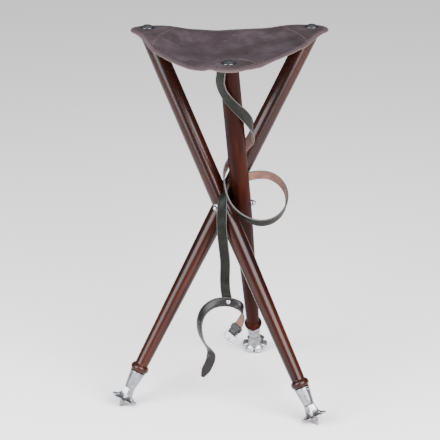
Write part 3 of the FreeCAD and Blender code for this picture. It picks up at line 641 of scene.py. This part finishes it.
def blunt_end(distance, length):
    """A strap end with clipped corners."""
    near = min(distance, length - distance)
    return min(1.0, 0.72 + near / (7 * MM) * 0.28)


def belt_width_at(distance, length):
    """Full width, then a point at the far end."""
    left = (length - distance) / (15 * MM)
    return 0.30 + 0.70 * left ** 0.8 if left < 1 else 1.0


def buckle_axes():
    """Place and directions of the buckle: bar axis, direction out of the belt, outer side."""
    joint = JOINTS["buckle_swing"]
    across = Vector(joint["axis"]).normalized()
    place = Vector(joint["pos_m"])
    along = place - route_points(BELT_SHORT_ROUTE)[0][-1]
    along = (along - across * along.dot(across)).normalized()
    return place, across, along, across.cross(along)


def bore_holes(obj, holes, radius, depth):
    """Punch round holes; holes are (place, direction) in the row frame, sizes in millimetres."""
    cutter = join("punches", [lathe("punch", [(radius, -depth), (radius, depth)], CUT_EDGE,
                                    aim_matrix(direction, place), segments=20)
                              for place, direction in holes])
    modifier = obj.modifiers.new("holes", "BOOLEAN")
    modifier.operation, modifier.solver, modifier.object = "DIFFERENCE", "EXACT", cutter
    bpy.context.view_layer.update()
    graph = bpy.context.evaluated_depsgraph_get()
    mesh = bpy.data.meshes.new_from_object(obj.evaluated_get(graph))
    obj.modifiers.clear()
    obj.data = mesh
    bpy.data.objects.remove(cutter)


def make_belt():
    """Belt in one piece: flap folded round the buckle bar, short end, rivet, long end, point."""
    bar, across, along, outer = buckle_axes()
    layer = BUCKLE_BAR + LEATHER_GAP + BELT_THICKNESS / 2
    # Rows: millimetres along and layers outwards from the bar, then the facing, along and outwards.
    fold = [(-17, -0.95, 0, -1), (-9, -0.85, 0, -1), (-2, -1.02, 0, -1), (1.6, -1.05, 0.4, -1),
            (1.15 * layer / MM, 0, 1, 0), (1.6, 1.05, 0.4, 1), (-2, 1.02, 0, 1), (-9, 0.75, 0, 1)]
    places = [bar + along * a * MM + outer * layer * b for a, b, c, d in fold]
    facings = [(along * c + outer * d).normalized() for a, b, c, d in fold]
    short_places, short_facings = route_points(BELT_SHORT_ROUTE)
    long_places, long_facings = route_points(BELT_LONG_ROUTE)
    places += short_places[::-1] + long_places
    facings += short_facings[::-1] + long_facings
    belt = ribbon("tie_belt_leather", places, facings, BELT_WIDTH, BELT_THICKNESS, BELT_HIDE,
                  narrow=belt_width_at, spacing=1.2 * MM, wander=0.15 * MM, seed=8)[0]
    bore_holes(belt, list(zip(long_places, long_facings))[4:7], 1.6, 7.0)
    return stand_in(belt, "hub", "strap_leather", "tie_belt")


def dome_profile(radius, height, skirt, steps=10):
    """Profile of a flat-based dome with a short upright skirt."""
    points = [(0.01, 0), (radius * 0.96, 0), (radius, 0.04 * radius + skirt * 0.3), (radius, skirt)]
    for step in range(1, steps + 1):
        angle = math.radians(90 * step / steps)
        points.append((max(0.01, radius * math.cos(angle)), skirt + height * math.sin(angle)))
    return points


def make_belt_rivet():
    """Domed cap and flared back of the rivet that joins strap and belt."""
    half_grip = 4.6
    parts = [lathe("rivet_end", profile, NICKEL,
                   aim_matrix(side, BELT_JOINT + side * half_grip * MM))
             for side, profile in ((BELT_JOINT_FACING, dome_profile(3.7, 1.3, 0.3)),
                                   (-BELT_JOINT_FACING, dome_profile(4.4, 0.9, 0.3)))]
    parts.append(lathe("rivet_shank", [(1.6, -half_grip), (1.6, half_grip)], NICKEL,
                       aim_matrix(BELT_JOINT_FACING, BELT_JOINT), segments=24))
    return stand_in(join("belt_rivet_caps", parts), "hub", "nickel_steel", "belt_rivet")


def swept_wire(name, corners, radius, matrix, closed=True):
    """Nickel wire through corner points, each (place, handle), rounded by a smooth spline."""
    curve, spline = new_curve("BEZIER", len(corners))
    for point, (place, handle) in zip(spline.bezier_points, corners):
        point.co, point.handle_left, point.handle_right = place, place - handle, place + handle
    spline.use_cyclic_u, spline.resolution_u = closed, 10
    curve.bevel_depth, curve.bevel_resolution, curve.use_fill_caps = radius, 5, True
    mesh = curve_mesh(curve)
    mesh.materials.clear()
    mesh.materials.append(NICKEL)
    mesh.shade_smooth()
    return place_object(name, mesh, matrix)


def make_buckle():
    """Rounded rectangular frame and its prong, on the bar in the fold of the belt."""
    bar, across, along, outer = buckle_axes()
    matrix = axes_matrix(across, along, outer, bar)
    half, depth, corner = 11.1 * MM, 18.2 * MM, 3.2 * MM
    outline = [Vector(point) for point in
               ((-half, 0, 0), (half, 0, 0), (half, depth, 0), (-half, depth, 0))]
    corners = []
    for number, here in enumerate(outline):
        come = (here - outline[number - 1]).normalized()
        leave = (outline[(number + 1) % 4] - here).normalized()
        handle = corner * 0.55
        corners += [(here - come * corner, come * handle), (here + leave * corner, leave * handle)]
    ring = swept_wire("buckle_ring", corners, BUCKLE_BAR + 0.5 * MM, matrix)
    stand_in(ring, "buckle", "nickel_steel", "buckle_frame")

    def bent(name, rows, radius, closed):
        corners = [(Vector(row[:3]) * MM, Vector(row[3:]) * MM) for row in rows]
        return swept_wire(name, corners, radius * MM, matrix, closed)

    tip, lift = depth / MM + 1.0, BUCKLE_BAR / MM + 1.3
    eye = bent("prong_eye", [(0, -2.7, 0, 0, 0, 1.5), (0, 0, 2.7, 0, 1.5, 0),
                             (0, 2.7, 0, 0, 0, -1.5), (0, 0, -2.7, 0, -1.5, 0)], 1.15, True)
    arm = bent("prong_arm", [(0, 1.2, 2.5, 0, 2, 0.2), (0, 10, 1.7, 0, 3, 0.1),
                             (0, tip, lift, 0, 2, 0.1)], 1.05, False)
    tongue = stand_in(join("buckle_tongue", [eye, arm]), "prong", "nickel_steel", "buckle_prong")
    return ring, tongue


def make_keeper():
    """Flat leather loop round both layers of the belt behind the buckle."""
    bar, across, along, outer = buckle_axes()
    centre = bar - along * 10.5 * MM
    wide, high = BELT_WIDTH / 2 + 1.2 * MM, 4.1 * MM
    places, facings = [], []
    for x, y in ((-1, -1), (-0.3, -1.03), (0.3, -1.03), (1, -1), (1.03, 0), (1, 1), (0.3, 1.03),
                 (-0.3, 1.03), (-1, 1), (-1.03, 0), (-1, -1), (-0.3, -1.03)):
        places.append(centre + across * x * wide + outer * y * high)
        facings.append((across * x * 0.5 + outer * y).normalized() if y else across * x)
    loop = ribbon("keeper_loop", places, facings, 8.5 * MM, 1.8 * MM, BELT_HIDE,
                  spacing=0.8 * MM)[0]
    return stand_in(loop, "hub", "strap_leather", "belt_keeper")


def make_cords():
    """The strap between the front leg and the hub, and all that hangs on it."""
    places, facings = route_points(STRAP_ROUTE)
    strap, path = ribbon("carry_strap_leather", places, facings, STRAP_WIDTH, STRAP_THICKNESS,
                         STRAP_HIDE, narrow=blunt_end, wander=0.25 * MM, seed=3)
    belt = make_belt()
    rivet = make_belt_rivet()
    ring, tongue = make_buckle()
    keeper = make_keeper()
    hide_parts("carry_strap")
    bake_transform(strap)


# ---- legs and feet, heights along the leg in millimetres from the hub bolt

BEAD_REACH = 344.4
FERRULE_TOP = -351.9
LEG_RISE = 352


def leg_radius(height):
    """Shaft radius in millimetres at a height along the leg from the hub bolt."""
    if height > 0:
        return 17.0 - 0.8 * height / LEG_RISE
    return 17.0 - 5.0 * (-height / BEAD_REACH) ** 1.15


def on_leg(side, piece, profile, material, slot, node, segments, cut=None, **settings):
    """Turn a profile round a leg's axis and put it in place of its CAD node."""
    obj = lathe(f"{side}_{piece}", profile, material, LEG_FRAME[side], segments, **settings)
    turn_faces_out(obj, cut)
    stand_in(obj, f"leg_{side}", slot, f"{side}_{node}")


def make_leg(side):
    """Turned shaft with a bead at its foot, cut level at the seat."""
    foot = BEAD_REACH - 9.5
    profile = [(9.0, -376), (11.0, FERRULE_TOP + 0.2), *arc(8.6, -BEAD_REACH, 8.0, -66, 62, 18),
               (12.15, -BEAD_REACH + 7.5), (12.0, -BEAD_REACH + 8.6)]
    phase = random.Random(11 + SIDES.index(side)).uniform(0, 6)
    for step in range(1, 61):
        height = step * (foot + LEG_RISE) / 60 - foot
        wobble = 0.10 * math.sin(height * 0.021 + phase) + 0.06 * math.sin(height * 0.057)
        profile.append((leg_radius(height) + wobble, height))
    front = side == "front"
    top = SEAT_PLANE - (STRAP_THICKNESS + LEATHER_GAP if front else 0.0)
    # the front leg gets the shaded copy of the wood, as painted shade
    on_leg(side, "turned_leg", profile, SHADED_FRONT_WOOD if front else WOOD, "varnished_wood", "leg", 96,
           cut=(UP * top, UP))


def make_nails(side):
    heads = []
    for sign in (-1, 1):
        local = aim_matrix(Vector((0, sign, -0.1)), Vector((0, sign * 13.0, -358.0)) * MM)
        heads.append(lathe("nail", dome_profile(2.0, 1.1, 0.3), NICKEL, LEG_FRAME[side] @ local,
                           segments=28))
    stand_in(join(f"{side}_ferrule_nail_heads", heads), f"leg_{side}", "nickel_steel",
             f"{side}_ferrule_nails")


def casting_radius(radius, height, angle):
    """Six-sided neck that turns into six rounded petals at the plate."""
    half = math.pi / 6
    turn = (angle + half) % (2 * half) - half
    flare = min(1.0, max(0.0, (-height - 398) / 7.0))
    facet = 1 + (math.cos(half) / math.cos(turn) / 0.93 - 1) * (1 - flare)
    gap = math.exp(-((abs(turn) - half) / 0.135) ** 2)
    return radius * facet * (1 - 0.30 * gap * flare ** 1.5)


def make_foot(side):
    """Ferrule and its nails, petalled plate and ground spike."""
    low, high = 9.85, 13.35
    ferrule = [(3.2, -383.9), (9.0, -384.0), (9.6, -383.6), (low, -382.6)]
    ferrule += [(low + (high - low) * share, -382.6 + share * 28.0)
                for share in (0.15, 0.3, 0.45, 0.6, 0.75, 0.9, 1.0)]
    ferrule += arc(13.1, FERRULE_TOP - 0.95, 0.95, -75, 90, 8)
    ferrule += [(11.6, FERRULE_TOP), (11.1, FERRULE_TOP - 1.0)]
    on_leg(side, "ferrule_shell", ferrule, CAST, "cast_aluminium", "ferrule", 80)
    make_nails(side)
    plate = [(3.2, -384.3), (8.6, -384.2), (9.4, -384.8), (9.7, -386.5), (10.2, -390.0),
             (11.0, -394.0), (12.2, -398.0), (13.8, -401.0), (16.4, -403.4), (19.4, -404.9),
             (21.8, -405.6), (23.0, -406.1), (23.5, -407.0), (23.4, -408.1), (22.7, -408.8),
             (21.5, -409.0), (14.0, -408.4), (7.2, -408.2)]
    on_leg(side, "petalled_foot", plate, CAST, "cast_aluminium", "foot_casting", 180,
           shape=casting_radius, smooth_angle=48)
    spike = [(1.5, -425.2), (1.9, -424.0), (3.4, -419.0), (5.2, -413.5), (6.6, -409.6),
             (7.0, -408.0), (6.8, -407.0)]
    on_leg(side, "spike_point", spike, STEEL, "spike_steel", "ground_spike", 48,
           cut=(Vector(), -UP))


# ---- hub

def make_hub():
    """Domed nuts and washers on the three bolt arms."""
    dome = [(4.9, 0.0), (5.2, 0.3), (5.2, 2.4), (4.7, 2.7)]
    dome += [(4.6 * math.cos(math.radians(turn)), 2.7 + 4.6 * math.sin(math.radians(turn)))
             for turn in range(0, 90, 9)]
    flat = [(3.6, 0), (6.3, 0), (6.5, 0.3), (6.5, 0.9), (6.3, 1.2), (3.6, 1.2)]
    for name, kind, profile, reach, node in (
            ("hub_domed_nuts", "nut", [(0.01, 0)] + dome, 39.3, "hub_cap_nuts"),
            ("hub_plate_washers", "washer", flat, 39.3 - 1.2, "hub_washers")):
        parts = []
        for side in SIDES:
            out = (pivot(side) - HUB).normalized()
            parts.append(lathe(kind, profile, NICKEL, aim_matrix(out, HUB + out * reach * MM),
                               segments=48))
        stand_in(join(name, parts), "hub", "nickel_steel", node)


# ---- seat

CORNER_RADIUS = 30.0 * MM
EDGE_HOLLOW = 4.0 * MM
SEAT_SAG = 30.0 * MM
EDGE_SAGS = (23.0 * MM, 9.5 * MM, 14.0 * MM)
FLAT_RADIUS = 20.0 * MM
SAG_RAMP = 55.0 * MM
HEM_WIDTH = 5.0 * MM
HEM_SWELL = 0.7 * MM
SEAM_INSET = 6.8 * MM
COLUMNS = 360
PATCH_REACH = 39
PATCH_RADIUS = 25.5
SCREW_PLAN = np.array([screw.xy for screw in SCREW.values()])

# The rings of the hide's mesh: first as shares of the way from the stool axis to the margin,
# then as millimetres inside the edge.
MARGIN = 30 * MM
RING_SHARES = (0.06, 0.12, 0.18, 0.24, 0.30, 0.36, 0.42, 0.48, 0.54, 0.60, 0.65, 0.70, 0.74, 0.78,
               0.82)
RING_INSETS = (26, 21, 17, 14, 12, 10.5, 9.6, 8.9, 8.3, 7.9, 7.5, 7.1, 6.6, 6.0, 5.2, 4.4, 3.6,
               2.8, 2.0, 1.3, 0.7, 0.3, 0.0)


def smooth(value):
    """Ease from 0 to 1."""
    value = min(1.0, max(0.0, value))
    return value * value * (3 - 2 * value)


def screw_distance(x, y, sides=SIDES):
    """Plan distance from the nearest seat screw."""
    return min(math.hypot(x - SCREW[side].x, y - SCREW[side].y) for side in sides)


def screw_shares(x, y):
    """Shares of the three screws in a plan point; one is negative outside their triangle."""
    a, b, c = SCREW_PLAN
    share_b, share_c = np.linalg.solve(np.stack([b - a, c - a], 1), (x, y) - a)
    return 1 - share_b - share_c, share_b, share_c


def seat_drop(x, y):
    """How far the leather hangs below the leg tops at a point of the plan."""
    shares = [max(0.0, share) for share in screw_shares(x, y)]
    bowl = 27 * math.prod(shares)
    edges = 4 * sum(sag * shares[number] * shares[(number + 1) % 3]
                    for number, sag in enumerate(EDGE_SAGS))
    ease = smooth((screw_distance(x, y) - FLAT_RADIUS) / SAG_RAMP)
    return ease * ((SEAT_SAG - 4 / 9 * sum(EDGE_SAGS)) * bowl + edges)


def seat_outline():
    """Closed plan outline of the leather, round corners joined by hollow edges."""
    order = sorted(SIDES, key=lambda s: math.atan2(*(SCREW[s] - STOOL_AXIS).yx))
    corners = [SCREW[side].to_2d() for side in order]
    outline = []
    for number, here in enumerate(corners):
        after = corners[(number + 1) % 3]
        leave = side_normal(here, after)
        arrive = side_normal(corners[number - 1], here)
        start = math.atan2(arrive.y, arrive.x)
        sweep = (math.atan2(leave.y, leave.x) - start) % (2 * math.pi)
        for step in range(33):
            angle = start + sweep * step / 32
            outline.append(here + Vector((math.cos(angle), math.sin(angle))) * CORNER_RADIUS)
        first, last = here + leave * CORNER_RADIUS, after + leave * CORNER_RADIUS
        for step in range(1, 60):
            share = step / 60
            hollow = EDGE_HOLLOW * 4 * share * (1 - share)
            outline.append(first.lerp(last, share) - leave * hollow)
    return np.array([tuple(point) for point in outline])


def side_normal(start, end):
    """Direction to the right of a plan line."""
    along = (end - start).normalized()
    return Vector((along.y, -along.x))


def outline_radius(outline):
    """Directions round the stool axis, evenly spaced, and how far the outline is in each."""
    x, y = (outline - STOOL_AXIS.xy).T
    angles = np.arctan2(y, x)
    order = np.argsort(angles)
    angles = np.concatenate([angles[order] + turn * 2 * np.pi for turn in (-1, 0, 1)])
    even = np.linspace(-math.pi, math.pi, COLUMNS, endpoint=False)
    return even, np.interp(even, angles, np.tile(np.hypot(x, y)[order], 3))


def edge_distance(outline, points):
    """Distance of plan points from the nearest stretch of a closed outline."""
    nearest = np.full(len(points), np.inf)
    for start, end in zip(outline, np.roll(outline, -1, axis=0)):
        run = end - start
        share = np.clip(((points - start) @ run) / (run @ run + 1e-12), 0, 1)
        nearest = np.minimum(nearest, np.linalg.norm(points - start - share[:, None] * run, axis=1))
    return nearest


def edge_gap(x, y):
    """Distance inwards from the outline of the hide, without the hollow of its edges."""
    nearest = edge_distance(SCREW_PLAN, np.array([(x, y)]))[0]
    return CORNER_RADIUS + math.copysign(nearest, min(screw_shares(x, y)))


def corner_lip(x, y):
    """How far the rim of the hide droops round each corner."""
    rim = smooth((17 * MM - edge_gap(x, y)) / (17 * MM))
    lip = 0.0
    for side, reach in zip(SIDES, (6.0 * MM, 4.0 * MM, 4.0 * MM)):
        lip += reach * rim * smooth((112 * MM - screw_distance(x, y, [side])) / (78 * MM))
    return lip


# Soft folds of the worn hide in millimetres: place measured from the stool axis, reach along
# X and Y, height.
FOLDS = [
    (-25, -162, 17, 20, -4.0), (-46, -134, 18, 20, 3.0), (60, -152, 18, 22, -3.0),
    (-104, 100, 26, 26, 2.5), (-45, 108, 26, 18, -1.0), (72, 120, 30, 26, 3.5),
    (15, 112, 34, 20, 1.5), (60, 30, 50, 16, 1.6), (-60, 20, 16, 50, 1.4),
]


def pucker(x, y):
    """Folds near the corners and edges, and slow waves over the whole hide."""
    x, y = (x - STOOL_AXIS.x) / MM, (y - STOOL_AXIS.y) / MM
    lift = 0.0
    for fold_x, fold_y, reach_x, reach_y, height in FOLDS:
        lift += height * math.exp(-((x - fold_x) / reach_x) ** 2 - ((y - fold_y) / reach_y) ** 2)
    slow = math.sin(x * 0.031 + 1.3) * math.sin(y * 0.027 + 0.4)
    fine = math.sin(x * 0.11 + y * 0.05) * math.sin(y * 0.09 - x * 0.04)
    return (lift + 0.8 * slow + 0.25 * fine) * MM


def surface_height(x, y):
    """Height of the top of the hide, without its hem."""
    calm = smooth((screw_distance(x, y) - 13 * MM) / (14 * MM))
    return LEATHER_TOP - seat_drop(x, y) - corner_lip(x, y) + pucker(x, y) * calm


def seat_surfaces():
    """Points of the top and of the underside, ring by ring, the hem values, and the groove values that carry the
    painted shade of the seam groove.
    """
    outline = seat_outline()
    angles, reach = outline_radius(outline)
    rings = [share * (reach - MARGIN) for share in RING_SHARES]
    rings += [reach - inset * MM for inset in RING_INSETS]
    plan = [(STOOL_AXIS.x + r * math.cos(a), STOOL_AXIS.y + r * math.sin(a))
            for ring in rings for r, a in zip(ring, angles)]
    gaps = edge_distance(outline, np.array(plan))
    gaps[-COLUMNS:] = 0
    top, bottom, hem, groove_shade = [], [], [], []
    rim = LEATHER_THICKNESS / 2 + HEM_SWELL
    for (x, y), gap in zip(plan, gaps):
        base = surface_height(x, y)
        hem_share = smooth((HEM_WIDTH + 1 * MM - gap) / (1.6 * MM))
        swell = HEM_SWELL * hem_share
        seam = math.exp(-((gap - SEAM_INSET) / (0.9 * MM)) ** 2)
        round_off = rim - math.sqrt(rim ** 2 - max(0.0, rim - gap) ** 2)
        dip = 0.45 * MM * math.exp(-(screw_distance(x, y) / (12 * MM)) ** 4)
        height = base + swell - seam * 0.55 * MM - round_off - dip
        under = base - LEATHER_THICKNESS - swell * 0.6 + round_off
        top.append((x, y, height))
        bottom.append((x, y, min(under, height - 0.02 * MM)))
        hem.append(hem_share)
        groove_shade.append(seam)
    return top, bottom, hem, groove_shade


def seat_mesh():
    """Points, faces (with material and column) and point values of the whole leather."""
    top, bottom, hem, groove_shade = seat_surfaces()
    under, centre = len(top), 2 * len(top)
    last = under - COLUMNS
    points = top + bottom
    points += [(STOOL_AXIS.x, STOOL_AXIS.y, half[0][2] - 0.1 * MM) for half in (top, bottom)]
    faces = []
    for step in range(COLUMNS):
        after = (step + 1) % COLUMNS
        for low in range(0, last, COLUMNS):
            high = low + COLUMNS
            a, b, c, d = low + step, high + step, high + after, low + after
            faces.append(((a, b, c, d), 0, step))
            faces.append(((under + a, under + d, under + c, under + b), 1, step))
        faces.append(((last + step, under + last + step, under + last + after, last + after),
                      0, step))
        faces.append(((step, after, centre), 0, step))
        faces.append(((under + after, under + step, centre + 1), 1, step))
    return points, faces, {"hem": hem + hem + [0.0] * 2, "groove_shade": groove_shade + [0.0] * (under + 2)}


def build_seat():
    """The leather in three wedges that meet without a seam."""
    points, faces, values = seat_mesh()
    whole = bpy.data.meshes.new("seat_whole")
    whole.from_pydata(points, [], [face for face, kind, step in faces])
    normals = [vertex.normal.copy() for vertex in whole.vertices]
    bpy.data.meshes.remove(whole)
    centre = len(points) - 2
    under, third = centre // 2, COLUMNS // 3
    wedges = []
    for side in SIDES:
        turn = math.atan2(*CORNER_OUT[side].yx)
        first = round((turn + math.pi) / (2 * math.pi) * COLUMNS) - third // 2
        own = {(first + step) % COLUMNS for step in range(third)}
        mine = [(face, kind) for face, kind, step in faces if step in own]
        for column in (first % COLUMNS, (first + third) % COLUMNS):
            wall = list(range(column, under, COLUMNS))
            for low, high in zip([centre] + wall, wall):
                below = centre + 1 if low == centre else under + low
                mine.append(((low, high, under + high, below), 1))
        used = sorted({index for face, kind in mine for index in face})
        renumber = {index: number for number, index in enumerate(used)}
        wedge = mesh_object(f"seat_leather_{side}", [points[index] for index in used],
                            [tuple(renumber[index] for index in face) for face, kind in mine],
                            [SEAT_HIDE, SEAT_FLESH], smooth_angle=None)
        wedge.data.polygons.foreach_set("material_index", [kind for face, kind in mine])
        for name, row in values.items():
            layer = wedge.data.attributes.new(name, "FLOAT", "POINT")
            layer.data.foreach_set("value", [row[index] for index in used])
        turn_faces_out(wedge)
        wedge.data.normals_split_custom_set_from_vertices([normals[index] for index in used])
        wedges.append(wedge)
    return wedges


def sector(place):
    """The side whose corner lies nearest in direction."""
    return max(SIDES, key=lambda s: (place - STOOL_AXIS).dot(CORNER_OUT[s]))


def sew_in(obj, side, *nodes):
    """Hide the CAD nodes that a seat piece stands for, and bake its place into its mesh."""
    if nodes:
        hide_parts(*nodes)
    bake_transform(obj)


def stitch_run(name, line, pitch, side):
    """Short waxed stitches along a plan line, laid on the leather."""
    run = run_of(line)
    points, faces = [], []
    for number in range(int(run[-1] / pitch)):
        ends = []
        for share in (0.14, 0.86):
            x, y = (np.interp((number + share) * pitch, run, line[:, axis]) for axis in (0, 1))
            ends.append(Vector((x, y, surface_height(x, y) - 0.15 * MM)))
        if sector((ends[0] + ends[1]) / 2) != side:
            continue
        along = (ends[1] - ends[0]).normalized()
        across = along.cross(UP).normalized()
        up = across.cross(along)
        rings = []
        for share, thick, rise in ((0, 0.15, -0.25), (0.2, 0.42, 0.12), (0.5, 0.48, 0.25),
                                   (0.8, 0.42, 0.12), (1, 0.15, -0.25)):
            place = ends[0].lerp(ends[1], share) + up * rise * MM
            rings.append([place + (across * math.cos(a) + up * math.sin(a)) * thick * MM
                          for a in (0, 1.05, 2.09, 3.14, 4.19, 5.24)])
        ring_points, ring_faces = ring_surface(rings)
        faces += [tuple(len(points) + index for index in face) for face in ring_faces]
        points += ring_points
    return mesh_object(name, points, faces, [THREAD], smooth_angle=60)


def inset_outline(inset):
    """The outline moved inwards, as a closed line of plan points."""
    line = seat_outline()
    ahead = unit(np.roll(line, -1, axis=0) - np.roll(line, 1, axis=0))
    moved = line + np.stack([-ahead[:, 1], ahead[:, 0]], 1) * inset
    return np.concatenate([moved, moved[:1]])


def make_seams():
    """Hem seam round the seat, and a seam across each corner over its sewn-on patch."""
    seams = []
    hem_line = inset_outline(SEAM_INSET)
    for side in SIDES:
        around = stitch_run("hem_stitches", hem_line, 3.6 * MM, side)
        out = CORNER_OUT[side].to_2d()
        chord = [SCREW[side].to_2d() + (out.orthogonal() * step - out * PATCH_REACH) * MM
                 for step in range(-64, 65)]
        chord = np.array([tuple(point) for point in chord if edge_gap(*point) > 9 * MM])
        seam = stitch_run("patch_stitches", chord, 3.4 * MM, side)
        seams.append(join(f"seat_stitches_{side}", [around, seam]))
    return seams


def patch_reach(angle):
    """Outline of a corner patch in millimetres: pear-shaped, square across its inner end."""
    back = -math.cos(angle)
    if back <= 0:
        return PATCH_RADIUS
    spread = PATCH_RADIUS / max(0.25, abs(math.sin(angle)) - 0.32 * back)
    return min(PATCH_REACH / max(0.35, back), max(PATCH_RADIUS, spread), 52)


def make_patch(side):
    """Second layer under a corner: edges a little raised, flesh side down."""
    out = CORNER_OUT[side].to_2d()
    turns = [2 * math.pi * step / 72 for step in range(72)]
    outline = [(out * math.cos(turn) + out.orthogonal() * math.sin(turn)) * patch_reach(turn) * MM
               for turn in turns]
    shares = (0.02, 0.25, 0.5, 0.75, 0.92, 1.0)
    layers = [(share, 1.5 if share == 1.0 else 2.0) for share in shares]
    layers += [(share, 0.5 if share == 1.0 else 0.0) for share in shares[::-1]]
    rings = []
    for share, drop in layers:
        ring = []
        for reach in outline:
            x, y = SCREW[side].to_2d() + reach * share
            top = surface_height(x, y) - LEATHER_THICKNESS - 0.25 * MM
            ring.append(Vector((x, y, top - drop * MM)))
        rings.append(ring)
    points, faces = ring_surface(rings)
    patch = mesh_object(f"{side}_patch_leather", points, faces, [SEAT_FLESH], smooth_angle=50)
    turn_faces_out(patch)
    sew_in(patch, side, f"{side}_corner_patch")


def make_seat_screw(side):
    """Cup washer and the domed screw that holds the leather to its leg."""
    base = Vector((*SCREW[side].xy, LEATHER_TOP))
    cup = [(2.5, 0.0), (11.6, 0.0), *arc(11.5, 0.7, 0.7, -80, 75, 6), (10.8, 1.45), (2.5, 1.4)]
    cup = lathe(f"{side}_cup_ring", cup, DARK_NICKEL, Matrix.Translation(base))
    stand_in(cup, f"leg_{side}", "nickel_steel", f"{side}_seat_cup_washer")
    wide, high = 10.6, 3.7
    ball = (wide ** 2 + high ** 2) / (2 * high)
    dome = [(2.1, -24.0), (2.1, 0.0), (10.3, 0.0), (wide, 0.3)]
    for step in range(1, 15):
        radius = wide * (1 - step / 14)
        dome.append((max(0.02, radius), 0.3 + high - ball + math.sqrt(ball ** 2 - radius ** 2)))
    head = lathe(f"{side}_dome_screw", dome, DARK_NICKEL,
                 Matrix.Translation(base + UP * 1.4 * MM))
    stand_in(head, f"leg_{side}", "nickel_steel", f"{side}_seat_screw")


def make_seat_pieces():
    for side, wedge, seam in zip(SIDES, build_seat(), make_seams()):
        sew_in(wedge, side, "seat_leather")
        sew_in(seam, side)
        make_patch(side)
        make_seat_screw(side)


# ---- the whole stool

add_camera()
make_cords()
add_studio()
for leg_side in SIDES:
    make_leg(leg_side)
    make_foot(leg_side)
make_hub()
make_seat_pieces()
hub_bolt = frame["nodes"]["hub_bolt"]
hub_bolt.data.materials.clear()
hub_bolt.data.materials.append(STEEL)
